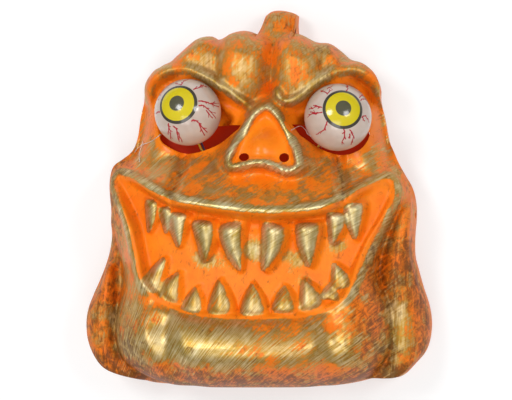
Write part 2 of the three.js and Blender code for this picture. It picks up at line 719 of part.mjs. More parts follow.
// Battery box behind the mouth: a tray open to the wearer, its cover and the switch
const box = { x: 0, y: -33, bottom: 54.5, top: 66.5, long: 38, wide: 24, wall: 1.5 };
function block(x0, x1, y0, y1, z0, z1) {
  const shape = new THREE.BoxGeometry(x1 - x0, y1 - y0, z1 - z0);
  return shape.translate((x0 + x1) / 2, (y0 + y1) / 2, (z0 + z1) / 2);
}
const halfLong = box.long / 2;
const halfWide = box.wide / 2;
const trayFloor = box.bottom + 2.1;
const tray = toSolid(block(-halfLong, halfLong, box.y - halfWide, box.y + halfWide,
  trayFloor, box.top)).subtract(toSolid(block(box.wall - halfLong, halfLong - box.wall,
  box.y - halfWide + box.wall, box.y + halfWide - box.wall, trayFloor - 1, box.top - box.wall)));
addPart('battery_box', fromSolid(tray), '#1b1c1e', 0.5, 0);
addPart('battery_cover', block(-halfLong, halfLong, box.y - halfWide, box.y + halfWide,
  box.bottom, trayFloor - 0.3), '#1b1c1e', 0.5, 0);
addPart('battery_switch', block(-halfLong - 2.3, -halfLong - 0.3, box.y - 3, box.y + 3,
  60, 63), '#d8d8d4', 0.4, 0);

// Leads: two wires from the back of each eyeball to the battery box
const leads = [
  { name: 'lead_left_yellow', eye: eyes[0], leave: [2.4, -13.1, -14.9], shift: -0.9,
    way: [[-34.5, 30, 43], [-30, 22, 43], [-22, 6, 47], [-13, -10, 55], [-9, -18.5, 60]],
    color: '#d9b21a' },
  { name: 'lead_left_blue', eye: eyes[0], leave: [4.6, -12.6, -14.9], shift: 0.9,
    way: [[-34.5, 30, 43], [-30, 22, 43], [-22, 6, 47], [-13, -10, 55], [-9, -18.5, 60]],
    color: '#20263f' },
  { name: 'lead_right_yellow', eye: eyes[1], leave: [-9.6, -13.4, -11.5], shift: -0.9,
    way: [[35.5, 31, 43], [31, 22, 43], [22, 6, 47], [13, -10, 55], [9, -18.5, 60]],
    color: '#d9b21a' },
  { name: 'lead_right_red', eye: eyes[1], leave: [-7.6, -14.2, -12], shift: 0.9,
    way: [[35.5, 31, 43], [31, 22, 43], [22, 6, 47], [13, -10, 55], [9, -18.5, 60]],
    color: '#a8241c' },
];
for (const lead of leads) {
  const out = new THREE.Vector3(...lead.leave).setLength(EYE_RADIUS + LEAD_DIAMETER / 2 + 0.4);
  const start = out.add(new THREE.Vector3(lead.eye.x, lead.eye.y, EYE_HEIGHT));
  const rest = lead.way.map(([x, y, z]) => new THREE.Vector3(x + lead.shift, y, z));
  const path = new THREE.CatmullRomCurve3([start, ...rest], false, 'catmullrom', 0.5);
  const section = new THREE.Shape();
  const sides = 6;
  for (let k = 0; k < sides; k += 1) {
    const angle = 2 * Math.PI * k / sides;
    const x = Math.cos(angle) * LEAD_DIAMETER / 2;
    const y = Math.sin(angle) * LEAD_DIAMETER / 2;
    if (k === 0) {
      section.moveTo(x, y);
    } else {
      section.lineTo(x, y);
    }
  }
  section.closePath();
  const wire = new THREE.ExtrudeGeometry(section, { steps: 12, bevelEnabled: false, extrudePath: path });
  addPart(lead.name, fromSolid(toSolid(wire)), lead.color, 0.4, 0);
}

// Middle of the box that holds everything comes to x = 0, y = 0, the rim stays at z = 0
const bounds = new THREE.Box3().setFromObject(group);
const middle = bounds.getCenter(new THREE.Vector3());
for (const mesh of group.children) {
  mesh.geometry.translate(-middle.x, -middle.y, -bounds.min.z);
}

export default group;
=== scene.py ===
import math

import bpy
import numpy as np
from mathutils import Matrix, Vector


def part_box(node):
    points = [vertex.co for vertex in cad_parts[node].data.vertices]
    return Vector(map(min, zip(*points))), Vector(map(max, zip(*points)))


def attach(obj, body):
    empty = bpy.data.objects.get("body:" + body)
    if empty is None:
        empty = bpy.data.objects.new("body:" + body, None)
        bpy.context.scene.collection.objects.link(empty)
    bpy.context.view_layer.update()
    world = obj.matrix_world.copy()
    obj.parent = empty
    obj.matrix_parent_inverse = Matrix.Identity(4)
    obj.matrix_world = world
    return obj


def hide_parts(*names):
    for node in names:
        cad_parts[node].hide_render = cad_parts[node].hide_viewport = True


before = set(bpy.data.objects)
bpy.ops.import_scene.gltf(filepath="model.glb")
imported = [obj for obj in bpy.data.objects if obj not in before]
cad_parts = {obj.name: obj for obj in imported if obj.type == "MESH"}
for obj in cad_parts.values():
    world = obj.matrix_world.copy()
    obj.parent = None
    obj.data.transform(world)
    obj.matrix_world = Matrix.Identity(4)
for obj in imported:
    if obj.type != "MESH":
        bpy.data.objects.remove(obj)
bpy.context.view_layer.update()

# Moulded face
# A pumpkin face of orange PVC sheet, drawn hot over a mould and trimmed, so it is open at the back.
# Stem, brows, nose, lips and teeth are one with it. The eye openings, nostrils and strap holes are
# cut out, and the front is brushed with gold paint and a brown glaze.
# Spots of the gold and the brown also paint highlights on the jaw and the right lobe, and shade
# under the jaw.
MM = 0.001
SHEET_THICKNESS = 1.4
BODY_HEIGHT = 46
BODY_REACH = 25
SIDE_HEIGHT = 34
LOBE_HEIGHT = 43
FOREHEAD_BASE = 34
FRONT_BASE = 26
CHEEK_HEIGHT = 52
FACE_CURVE = 0.0034
EYE_RADIUS = 20
EYE_HEIGHT = 55
EYE_GAP = 0.3
SHELF_HEIGHT = 35
SOCKET_WALL = 36
BROW_LOW = 51
BROW_HIGH = 61
LIP_HEIGHT = 88
JAW_HEIGHT = 95
MOUTH_DEPTH = 17
NOSE_TOP = 66
NOSE_BOTTOM = 79
NOSE_EDGE_RISE = 3.2
STEM_HEIGHT = 24
STEM_FLUTE = 1.2
LIP_BEAD_HALF = 4.2
LIP_BEAD_RISE = 3.5
TOOTH_FLANK = 2.4
TOOTH_ROOT_SHARE = 0.88

body_points = [
    (0, 101.5), (-13, 104.5), (-24.5, 101.5), (-29.5, 98.5), (-34, 100.5), (-43.5, 98), (-57, 86),
    (-65, 83), (-71.5, 80), (-76, 73), (-76, 66), (-75.5, 59.5), (-77, 48), (-78.5, 37),
    (-81.5, 28), (-87, 22.5), (-92.5, 18), (-94.5, 10), (-95.5, -4), (-96, -16), (-95, -25),
    (-96, -35), (-98.5, -44.5), (-102, -54), (-106, -64), (-108, -72), (-108.5, -80.5),
    (-107.5, -88.5), (-104.5, -96.5), (-99.5, -104), (-94, -109), (-86.5, -112), (-75, -114.5),
    (-65, -117), (-52, -117.5), (-39, -117.5), (-21.5, -117.5), (1, -116), (25, -114.5),
    (37.5, -112.5), (55, -112), (64.5, -110.5), (74, -108), (85, -107.5), (92, -105), (99, -97.5),
    (105, -89.5), (107.5, -79.5), (107.5, -70), (105.5, -60.5), (102, -51), (98.5, -40), (96, -31),
    (95.5, -19.5), (96, -8), (95.5, 1), (93, 10.5), (88.5, 18), (84, 25.5), (80, 34), (77.5, 39.5),
    (74.5, 53), (71.5, 64), (71, 72), (68, 78.5), (61, 84.5), (53.5, 87.5), (47.5, 92.5),
    (40, 97.5), (31, 98.5), (22.5, 102.5), (14.5, 104),
]
stem_points = [
    (-5, 92), (-5, 104), (-4, 109.5), (-3, 115), (1, 118.5), (6, 119.5), (11.5, 119),
    (16.5, 117.5), (19, 114), (17.5, 106), (16.5, 92), (6, 90),
]
front_points = [
    (67, 25), (78, 25.5), (85, 22), (89.5, 15), (90, 6), (86, -4), (80, -16.5), (75.5, -30),
    (74.5, -40.5), (77, -48), (81, -55), (84.5, -64), (85.5, -77), (84, -88), (79.5, -97),
    (72, -104), (57, -109.5), (42, -112), (5, -114), (-33, -115.5), (-50, -114.5), (-64, -110.5),
    (-78, -103), (-84.5, -92), (-86, -81.5), (-85.5, -71), (-83.5, -60), (-82.5, -51), (-84, -40),
    (-88, -27), (-91, -12), (-93.5, 3), (-93.5, 12), (-90.5, 17.5), (-84, 21), (-70, 23),
    (-69, 36), (-66, 54), (0, 64), (62, 56), (66, 40),
]
mouth_points = [
    (-85.5, 11.5), (-81.5, 11.5), (-72.5, 8.5), (-61.5, 3.5), (-47.5, -2), (-35, -4), (-20, -6),
    (3, -8), (23.5, -7), (40.5, -4), (53.5, 1.5), (62.5, 7.5), (72.5, 13.5), (78.5, 15),
    (81.5, 12), (82, 5), (78.5, -3), (73, -16), (68, -28), (63, -40), (60.5, -47), (56.5, -55),
    (48.5, -62.5), (37.5, -67), (23.5, -69), (6.5, -70), (-14, -70.5), (-32, -69.5),
    (-45.5, -66.5), (-55.5, -60.5), (-62.5, -53), (-66, -46), (-68, -38), (-70, -29),
    (-72.5, -19), (-76, -10), (-81, -1), (-86, 6),
]
nose_points = [
    (5.5, 56), (11, 53), (16, 47), (20.5, 40), (24.5, 32.5), (27, 26), (27.5, 21), (24.5, 18),
    (19.5, 17), (14, 19), (8, 21), (2, 21), (-4, 20), (-9.5, 18.5), (-13.5, 18.5), (-15, 22.5),
    (-14, 27), (-11.5, 33.5), (-8, 40), (-5, 46), (-1.5, 51.5),
]
brow_points = [
    [(-68, 62), (-67, 68), (-62, 73), (-56, 76.5), (-49, 77.5), (-42.5, 77), (-36, 74.5),
     (-29.5, 71.5), (-23.5, 68), (-17.5, 64.5), (-12.5, 61), (-7.5, 57.5)],
    [(71, 67), (68.5, 73.5), (64, 77.5), (58, 80), (52, 80), (44.5, 78), (38, 74.5),
     (33, 70.5), (28.5, 66), (22.5, 61.5), (16.5, 59.5), (12.5, 61.5), (11, 65)],
]
socket_points = [
    [(-67, 60), (-60.5, 69), (-51, 72.5), (-39, 71), (-30, 66.5), (-20.5, 60.5), (-13, 55.5),
     (-9.5, 51.5), (-9.5, 45.5), (-13.5, 39.5), (-25.5, 31), (-42.5, 26), (-56, 29), (-64, 35),
     (-68, 47)],
    [(20, 53.5), (26.5, 59), (35, 66), (45, 72), (55, 74.5), (62, 71), (67.5, 63), (70, 53),
     (70, 44), (67, 36), (61, 31), (52.5, 28.5), (40.5, 30.5), (28.5, 37.5), (19, 45)],
]
opening_points = [
    [(-10.5, 44.5), (-36, 44), (-56, 42), (-61, 37), (-57, 31.5), (-43, 26.5), (-26, 31.5),
     (-14, 40)],
    [(19.5, 45.5), (42.5, 46), (63, 44.5), (66, 41), (61.5, 33), (52, 29), (40, 31), (28, 38)],
]
eye_centres = {"left": (-42.4, 51.1), "right": (47.7, 50.8)}
nostrils = [(-5.5, 25, 6.2, 4.8), (18, 25.5, 5.8, 5.4)]
forehead_lobes = [
    (-11, 80, 18.5, 24, 62), (21.5, 80, 17.5, 23.5, 61), (-40, 80, 16, 21, 53),
    (44, 79, 13.5, 18.5, 51),
]
groove_lines = [
    (4, 2.5, [(5.5, 103), (5.5, 88), (5.5, 78), (5, 69), (4.5, 60)]),
    (6, 2.8, [(-44.5, 26), (-45, 18), (-47, 9), (-48, -2)]),
    (6.5, 2.8, [(48, 29), (49.5, 20), (52, 10), (53.5, 0)]),
    (5, 6, [(-49, -76), (-47, -86), (-44, -96), (-38, -106), (-35, -118)]),
    (5, 6, [(49, -72), (50, -82), (48, -94), (45, -104), (43, -116)]),
    (1.2, 4, [(2, -8), (1.5, -2), (1, 4)]),
]
side_lobes = [
    (8, 17, [(90, 12), (89, -4), (87, -18), (85.5, -32), (86, -46), (88.5, -60), (90, -74),
             (89.5, -88), (86, -98), (78, -104)]),
    (4, 15, [(-90, -36), (-90, -48), (-91.5, -60), (-93.5, -70), (-94, -80), (-92.5, -90),
             (-87, -100), (-77, -107)]),
]
teeth = [
    ((-60.5, -1), (-61.5, -20), 8, 8.5, 0.6), ((-52, -5), (-50.5, -20), 7.5, 8, 0.4),
    ((-43, -8), (-42.5, -28), 11.5, 10, -0.8), ((-28.5, -12), (-26, -35.5), 14, 12, 1),
    ((-10.5, -12.5), (-5, -40), 15.5, 13, -1.6), ((3, -18), (1.5, -34), 6.5, 3.5, 0),
    ((14.5, -12), (9.5, -40), 15, 13, 1.8), ((34.5, -11), (35.5, -36.5), 15, 12, -0.8),
    ((50, -5), (48.5, -22.5), 10.5, 10, 0.8), ((60.5, 1), (61.5, -19.5), 10.5, 10, -0.6),
    ((-58.5, -57), (-51.5, -37.5), 11.5, 9, -1.4), ((-47.5, -62), (-42.5, -46), 14.5, 10, -1.6),
    ((-33, -67.5), (-31, -54), 13, 8, 0), ((-16, -68.5), (-17, -49), 15, 10, 0.6),
    ((4, -68), (3, -50.5), 15.5, 10, 0), ((22, -66), (22, -51), 15.5, 10, 0),
    ((38, -63.5), (33, -47), 15.5, 10, 1), ((48.5, -57.5), (49, -48), 11.5, 8, 0),
    ((55, -51), (50.5, -37), 13, 9, 0.8),
]


def mix(a, b, share):
    return a + (b - a) * share


def ease(value):
    t = np.clip(value, 0, 1)
    return t * t * (3 - 2 * t)


def soft_max(a, b, width):
    t = np.clip(0.5 + 0.5 * (a - b) / width, 0, 1)
    return b + (a - b) * t + width * t * (1 - t)


def soft_min(a, b, width):
    return -soft_max(-a, -b, width)


def rounded_edge(distance, reach):
    """A quarter round that rises from 0 at the edge to 1 at its reach."""
    left = 1 - np.clip(distance / reach, 0, 1)
    return np.where(distance <= 0, 0.12 * distance, np.sqrt(1 - left * left))


def smooth_path(points, closed=False, steps=6):
    """A smooth curve through the points."""
    knots = np.array(points, float)
    count = len(knots)
    path = []
    for k in range(count if closed else count - 1):
        start, end = knots[k], knots[(k + 1) % count]
        before = knots[k - 1] if closed or k > 0 else 2 * start - end
        after = knots[(k + 2) % count] if closed or k + 2 < count else 2 * end - start
        for t in np.arange(steps) / steps:
            path.append(start + 0.5 * t * ((end - before)
                        + t * (2 * before - 5 * start + 4 * end - after)
                        + t * t * (3 * start - before - 3 * end + after)))
    path.append(knots[0] if closed else knots[-1])
    return np.array(path)


def distance_to(path, x, y):
    """Distance to the path, and how far along it, from 0 to 1, the nearest point lies."""
    best = np.full(x.shape, np.inf)
    along = np.zeros(x.shape)
    for k in range(len(path) - 1):
        ax, ay = path[k]
        bx, by = path[k + 1] - path[k]
        t = np.clip(((x - ax) * bx + (y - ay) * by) / max(bx * bx + by * by, 1e-9), 0, 1)
        square = (x - ax - t * bx) ** 2 + (y - ay - t * by) ** 2
        nearer = square < best
        best = np.where(nearer, square, best)
        along = np.where(nearer, (k + t) / (len(path) - 1), along)
    return np.sqrt(best), along


def near_path(path, x, y, margin):
    low, high = path.min(0) - margin, path.max(0) + margin
    return (x > low[0]) & (x < high[0]) & (y > low[1]) & (y < high[1])


def line_distance(path, x, y, margin):
    distance = np.full(x.shape, float(margin))
    along = np.zeros(x.shape)
    near = near_path(path, x, y, margin)
    distance[near], along[near] = distance_to(path, x[near], y[near])
    return distance, along


def depth_inside(path, x, y, margin=40):
    """Distance from the outline, above 0 inside it and down to minus the margin outside."""
    depth = np.full(x.shape, -float(margin))
    near = near_path(path, x, y, margin)
    px, py = x[near], y[near]
    away, _ = distance_to(path, px, py)
    inside = np.zeros(px.shape, bool)
    for (ax, ay), (bx, by) in zip(path[:-1], path[1:]):
        if ay != by:
            inside ^= ((ay > py) != (by > py)) & (px < (bx - ax) * (py - ay) / (by - ay) + ax)
    depth[near] = np.where(inside, away, -np.minimum(away, margin))
    return depth


body_line = smooth_path(body_points, True, 4)
stem_line = smooth_path(stem_points, True, 4)
front_line = smooth_path(front_points, True, 4)
mouth_line = smooth_path(mouth_points, True, 4)
nose_line = smooth_path(nose_points, True, 4)
brow_lines = [smooth_path(points) for points in brow_points]
socket_lines = [smooth_path(points, True, 4) for points in socket_points]
opening_lines = [smooth_path(points, True, 4) for points in opening_points]


def front_height(x, y):
    """Height of the front without its details: it climbs to the lips and again to the jaw."""
    cheek = mix(CHEEK_HEIGHT, LIP_HEIGHT, ease((34 - y) / 42))
    jaw = (JAW_HEIGHT - LIP_HEIGHT) * ease((-50 - y) / 38)
    return cheek + jaw - FACE_CURVE * x * x


def tooth_relief(tooth, x, y):
    """How far a tooth stands out of the floor of the mouth, and its crown from 0 to 1."""
    (rx, ry), tip, width, stand, bend = tooth
    ax, ay = tip[0] - rx, tip[1] - ry
    length = math.hypot(ax, ay)
    s = ((x - rx) * ax + (y - ry) * ay) / length
    t = np.clip(s / length, 0, 1)
    side = math.copysign(1, ay)
    across = side * ((x - rx) * ay - (y - ry) * ax) / length - 4 * bend * t * (1 - t)
    q = np.abs(across)
    root = np.sqrt(1 - np.maximum(0, 1 - t / 0.25) ** 2)
    half = 0.5 * width * mix(TOOTH_ROOT_SHARE, 1, root) * (1 - t**1.7) ** 0.85
    past = np.where(s < 0, -s, np.maximum(s - length, 0))
    outside = np.hypot(np.maximum(q - half, 0), past)
    round_off = np.minimum((np.minimum(q, half) + outside) / (half + TOOTH_FLANK), 1)
    crown = (1 - round_off**2) ** 0.6 * mix(0.3, 1, root)
    crown = np.where((s < -5) | (s > length + 3) | (q > width), 0, crown)
    return stand * crown * (1 - 0.45 * t * t), crown


def shape_of_face(x, y):
    """Height of the face in millimetres, and the fields that the paint follows."""
    fields = {}

    # The whole outline, higher at the forehead and rounded over at its edge
    body_depth = depth_inside(body_line, x, y)
    high = ease((y + 10) / 30)
    z = mix(SIDE_HEIGHT, BODY_HEIGHT, high) * rounded_edge(body_depth, mix(12, BODY_REACH, high))

    # Long lobes of the pumpkin at the sides
    for top, low, points in side_lobes:
        distance, along = line_distance(smooth_path(points), x, y, 18)
        half = mix(top, low, ease(along * 1.8))
        crest = LOBE_HEIGHT * np.sqrt(1 - np.minimum(distance / half, 1) ** 2)
        crest = crest * ease(along * 6 + 0.3)
        raised = soft_max(z, np.minimum(crest, 3 * body_depth * (1 + body_depth)), 5)
        z = np.where(distance < half, raised, z)

    # Four lobes of the pumpkin across the forehead
    for cx, cy, wide, tall, top in forehead_lobes:
        rest = 1 - np.abs((x - cx) / wide) ** 2.4 - np.abs((y - cy) / tall) ** 2.4
        dome = np.where(rest > 0, np.sqrt(np.maximum(rest, 0)), 2 * rest)
        bulge = FOREHEAD_BASE + (top - FOREHEAD_BASE) * dome
        z = np.where(rest > -0.6, soft_max(z, np.minimum(bulge, z + 18), 2.5), z)

    # The front with cheeks and jaw, rounded down towards the lower edge of the mouth
    front_depth = depth_inside(front_line, x, y)
    chin = ease((-52 - y) / 14)
    reach = mix(26, 20, ease((y + 40) / 60)) + 4 * chin
    mass = FRONT_BASE + (front_height(x, y) - FRONT_BASE) * rounded_edge(front_depth, reach)
    mouth_depth = depth_inside(mouth_line, x, y, 26)
    mass = mass - 11 * chin * (1 - rounded_edge(np.maximum(-mouth_depth, 0.01), 25))
    z = soft_max(z, mass, 4)

    # Grooves between the lobes, down the cheeks and the jaw, and over the upper lip
    crease = np.zeros(x.shape)
    for depth, half, points in groove_lines:
        distance, _ = line_distance(smooth_path(points), x, y, half * 2.5)
        sunk = 1 - ease(distance / (half * 2))
        z = z - depth * sunk * np.minimum(1, np.maximum(z, 0) / 20)
        crease = np.maximum(crease, 1 - ease(distance / half))
    fields["crease"] = crease

    # The nose, with a raised edge and a low ridge in its sunk middle
    nose_depth = depth_inside(nose_line, x, y, 16)
    nose_top = mix(NOSE_TOP, NOSE_BOTTOM, ease((54 - y) / 34))
    skirt = nose_top - 11 * (np.maximum(-nose_depth, 0) / 4) ** 0.8
    nose = soft_max(z, np.where(nose_depth > 0, nose_top, skirt), 2.5)
    ridge = np.exp(-(((x - 4) / 8) ** 2) - ((y - 33) / 9) ** 2)
    nose = nose - (5 - 6 * ridge) * ease((nose_depth - 0.5) / 5)
    nose = nose + NOSE_EDGE_RISE * np.maximum(0, 1 - (nose_depth / 4) ** 2)
    z = np.where(nose_depth > -16, nose, z)
    fields["nose"] = nose_depth

    # The sockets, down to the shelf that the eyeballs are glued on
    socket = np.full(x.shape, -6.0)
    for side, line in enumerate(socket_lines):
        depth = depth_inside(line, x, y, 6)
        inner = ease((x + 35) / 20) if side == 0 else ease((38 - x) / 20)
        wall = SHELF_HEIGHT + SOCKET_WALL * (1 - ease((depth + 1.5) / (8 + 6 * inner)))
        z = np.where(depth > -6, soft_min(z, wall, 3), z)
        socket = np.maximum(socket, depth)
    fields["socket"] = socket

    # The brows, a bead over each socket that rises towards the nose
    brow_distance = np.full(x.shape, 12.0)
    for line in brow_lines:
        distance, along = line_distance(line, x, y, 12)
        crest = mix(BROW_LOW, BROW_HIGH, ease(along * 1.3)) - 7 * (1 - ease(along * 6))
        bead = crest - 8 * (distance / mix(4.4, 3.4, along)) ** 2
        z = np.where(distance < 12, soft_max(z, np.maximum(bead, z - 3), 2), z)
        brow_distance = np.minimum(brow_distance, distance)
    fields["brow"] = brow_distance

    # Room for the eyeballs
    room = (EYE_RADIUS + EYE_GAP) ** 2
    for cx, cy in eye_centres.values():
        across = (x - cx) ** 2 + (y - cy) ** 2
        pocket = EYE_HEIGHT - np.sqrt(np.maximum(room - across, 0))
        z = np.where(across < room, np.minimum(z, pocket), z)

    # The mouth, with teeth standing on its floor and a bead of lip along its top and sides
    floor = front_height(x, np.minimum(y, -12)) - MOUTH_DEPTH - 4 * ease((-50 - y) / 30)
    corner = ease((np.abs(x) - 50) / 25) * ease((y + 30) / 30)
    cavity = floor + 40 * (1 - ease((mouth_depth + 2) / mix(7, 4.5, corner)))
    relief = np.zeros(x.shape)
    for tooth in teeth:
        relief = np.maximum(relief, tooth_relief(tooth, x, y)[0])
    relief = np.where(mouth_depth > -3, relief, 0)
    beside = ease((np.abs(x + 3) - 56) / 12)
    half = LIP_BEAD_HALF - 0.6 * beside
    offset = np.minimum(np.abs(mouth_depth + 0.6 * half) / half, 1)
    bead = (LIP_BEAD_RISE + 1.5 * corner) * (1 - ease((-42 - y) / 16)) * (1 - offset * offset)
    lips = soft_min(z + bead, cavity, 2.5)
    lips = soft_max(lips, np.minimum(floor + relief, lips + relief), 1.5)
    z = np.where(mouth_depth > -10, lips, z)
    fields["mouth"] = mouth_depth

    # The fluted stem
    stem_depth = depth_inside(stem_line, x, y, 6)
    flute = STEM_FLUTE * np.cos((x - 6) * 1.1)
    stem_top = STEM_HEIGHT + 12 * (1 - ease((y - 94) / 24)) + flute
    stem = soft_max(z, stem_top * rounded_edge(stem_depth, 7), 3)
    z = np.where(stem_depth > -6, stem, z)
    fields["stem"] = stem_depth
    return z, fields


def ray_lengths(path, centre, angles):
    """How far the outline lies from the centre in each direction."""
    cx, cy = np.cos(angles), np.sin(angles)
    far = np.zeros(angles.shape)
    for start, end in zip(path[:-1] - centre, path[1:] - centre):
        side_a = start[0] * cy - start[1] * cx
        side_b = end[0] * cy - end[1] * cx
        crosses = (side_a * side_b <= 0) & (side_a != side_b)
        t = side_a / np.where(crosses, side_a - side_b, 1)
        reach = mix(start[0], end[0], t) * cx + mix(start[1], end[1], t) * cy
        far = np.maximum(far, np.where(crosses, reach, 0))
    return far


def lattice(rays, rings, inset):
    """Rays and rings over the face; the stem is reached by the last rings alone."""
    centre = np.array([-4, -31])
    angles = np.arange(rays) * 2 * math.pi / rays
    body = ray_lengths(body_line, centre, angles)
    extra = np.maximum(ray_lengths(stem_line, centre, angles) - body, 0)
    whole = body + extra
    slope = (np.roll(whole, -1) - np.roll(whole, 1)) / (4 * math.pi / rays)
    edge = SHEET_THICKNESS * np.minimum(np.hypot(1, slope / whole), 3)
    share = (np.arange(1, rings + 1) / rings)[:, None]
    reach = (body - inset * edge) * (1 - (1 - share) ** 1.8) + extra * share**8
    x = np.concatenate([[centre[0]], (centre[0] + reach * np.cos(angles)).ravel()])
    y = np.concatenate([[centre[1]], (centre[1] + reach * np.sin(angles)).ravel()])
    return x, y


def lattice_faces(rays, rings, start, flip):
    """A fan round the middle point and rings of quads beyond it, turned over if asked."""
    faces = []
    for i in range(rays):
        n = (i + 1) % rays
        faces.append((start, start + 1 + i, start + 1 + n))
        for j in range(rings - 1):
            a = start + 1 + j * rays
            faces.append((a + i, a + rays + i, a + rays + n, a + n))
    return [face[::-1] for face in faces] if flip else faces


OUTER_RAYS, OUTER_RINGS = 512, 150
INNER_RAYS, INNER_RINGS = 256, 60

outer_x, outer_y = lattice(OUTER_RAYS, OUTER_RINGS, 0)
outer_z = np.maximum(shape_of_face(outer_x, outer_y)[0], 0)
outer_z[-OUTER_RAYS:] = 0

# Hot sheet doesn't follow the sharpest edges of the mould
SOFTENING_ROUNDS = 2
rings = outer_z[1:].reshape(OUTER_RINGS, OUTER_RAYS)
for _ in range(SOFTENING_ROUNDS):
    rings[:] = (np.roll(rings, 1, 1) + 2 * rings + np.roll(rings, -1, 1)) / 4
    rings[1:-2] = (rings[:-3] + 2 * rings[1:-2] + rings[2:-1]) / 4

inner_x, inner_y = lattice(INNER_RAYS, INNER_RINGS, 1)
inner_z = shape_of_face(inner_x, inner_y)[0] - SHEET_THICKNESS
for share, spokes in ((0.6, 6), (1, 12)):
    drop = SHEET_THICKNESS * math.sqrt(1 - share * share)
    for k in range(spokes):
        turn = 2 * math.pi * k / spokes
        beside = shape_of_face(inner_x + share * SHEET_THICKNESS * math.cos(turn),
                               inner_y + share * SHEET_THICKNESS * math.sin(turn))[0]
        inner_z = np.minimum(inner_z, beside - drop)
inner_z = np.maximum(inner_z, 0)
inner_z[-INNER_RAYS:] = 0

inner_start = len(outer_x)
outer_rim = inner_start - OUTER_RAYS
inner_rim = inner_start + len(inner_x) - INNER_RAYS
face_points = np.column_stack([np.concatenate([outer_x, inner_x]),
                               np.concatenate([outer_y, inner_y]),
                               np.concatenate([outer_z, inner_z])])
faces = lattice_faces(OUTER_RAYS, OUTER_RINGS, 0, False)
faces += lattice_faces(INNER_RAYS, INNER_RINGS, inner_start, True)
for i in range(INNER_RAYS):
    n = (i + 1) % INNER_RAYS
    first, middle, last = (outer_rim + (2 * i + k) % OUTER_RAYS for k in range(3))
    faces.append((first, inner_rim + i, middle))
    faces.append((middle, inner_rim + i, inner_rim + n))
    faces.append((middle, inner_rim + n, last))


def new_piece(name, points, faces):
    mesh = bpy.data.meshes.new(name)
    mesh.from_pydata(np.asarray(points).tolist(), [], faces)
    piece = bpy.data.objects.new(name, mesh)
    bpy.context.scene.collection.objects.link(piece)
    return piece


def prism(name, outline, bottom, top):
    """A straight block over the outline, wound so that its faces point outwards."""
    outline = np.asarray(outline)
    onward = np.roll(outline, -1, axis=0)
    if np.sum(outline[:, 0] * onward[:, 1] - outline[:, 1] * onward[:, 0]) < 0:
        outline = outline[::-1]
    count = len(outline)
    points = [(x, y, z) for z in (bottom, top) for x, y in outline]
    sides = [(k, (k + 1) % count, (k + 1) % count + count, k + count) for k in range(count)]
    return new_piece(name, points, [tuple(range(count))[::-1], *sides,
                                    tuple(range(count, 2 * count))])


face_piece = new_piece("moulded_face", face_points, faces)
cutters = [prism("opening", line[:-1], bottom=26, top=60) for line in opening_lines]
HOLE_SIDES = 32
turns = np.arange(HOLE_SIDES) * 2 * math.pi / HOLE_SIDES
for cx, cy, wide, tall in nostrils:
    oval = [(cx + wide / 2 * math.cos(a), cy + tall / 2 * math.sin(a)) for a in turns]
    cutters.append(prism("nostril", oval, bottom=36, top=96))
STRAP_HOLE_RADIUS = 2
STRAP_HOLE_PLACE = (92, -6, 12)
for side in (-1, 1):
    ring = [(STRAP_HOLE_RADIUS * math.cos(a), STRAP_HOLE_RADIUS * math.sin(a)) for a in turns]
    cutter = prism("strap_hole", ring, bottom=-10, top=10)
    place = (side * STRAP_HOLE_PLACE[0], *STRAP_HOLE_PLACE[1:])
    cutter.data.transform(Matrix.Translation(place) @ Matrix.Rotation(math.pi / 2, 4, "Y"))
    cutters.append(cutter)
for cutter in cutters:
    cut = face_piece.modifiers.new("cut", "BOOLEAN")
    cut.operation = "DIFFERENCE"
    cut.solver = "MANIFOLD"
    cut.object = cutter


def finished_mesh(piece):
    """The piece's mesh with its modifiers applied."""
    evaluated = piece.evaluated_get(bpy.context.evaluated_depsgraph_get())
    mesh = bpy.data.meshes.new_from_object(evaluated)
    piece.modifiers.clear()
    piece.data = mesh
    return mesh


bpy.context.view_layer.update()
face_mesh = finished_mesh(face_piece)
for cutter in cutters:
    bpy.data.objects.remove(cutter)

at = np.zeros(len(face_mesh.vertices) * 3)
face_mesh.vertices.foreach_get("co", at)
at = at.reshape(-1, 3)
fields = shape_of_face(at[:, 0], at[:, 1])[1]
normals = np.zeros(at.size)
face_mesh.vertices.foreach_get("normal", normals)
is_front = normals.reshape(-1, 3)[:, 2] > 0

# Gold paint, brushed on dry, takes on what stands up and misses what is sunk. 0 is bare plastic
# and 1 or more a full coat. Where there are two values, it goes from the first to the second.
GOLD = {
    "body": 0.45, "forehead": 0.52, "cheeks": 0.54, "jaw": (0.62, 0.54), "below_the_jaw": 0.3,
    "sides": 0.34, "lower_right": 0.36, "stem": 0.42, "lips": (1.0, 0.75), "nose_edge": 1.15,
    "brows": (0.5, 0.82), "smudges": 0.75, "teeth": (0.82, 1.05), "low_down": 0.7,
}
# Brown, in the same way: a glaze over the edges and in the mouth, darker down the cheek grooves,
# and below the jaw partly painted shade under the chin
BROWN = {
    "body": 0.13, "lower_right": 0.28, "right_side": 0.08, "left_side": 0.22, "below_the_jaw": 0.34,
    "lower_teeth": 0.1, "cheek_grooves": 0.3, "most": 0.5, "stem": 0.2, "mouth": 0.14,
    "low_down": 0.3,
}
# Smudges of gold on the floor of the mouth: x, y, half width, half height, strength
gold_smudges = [
    (-25, -37, 13, 6, 1), (26, -33, 9, 9, 1), (52, -26, 8, 5, 1), (33, -45, 8, 5, 1),
    (1.5, -29, 6, 8, 1.5),
]
# The gold on a tooth sits this far to the left of its middle, and the chipped tooth has none
TOOTH_GOLD_SHIFT = 1.4
CHIPPED_TOOTH_STANDS = 3.5

x, y, height = at.T
mouth, nose, brow, socket = (fields[name] for name in ("mouth", "nose", "brow", "socket"))


def spot(cx, cy, wide, tall):
    """1 at its middle, fading out over its half width and half height."""
    return np.exp(-(((x - cx) / wide) ** 2) - ((y - cy) / tall) ** 2)


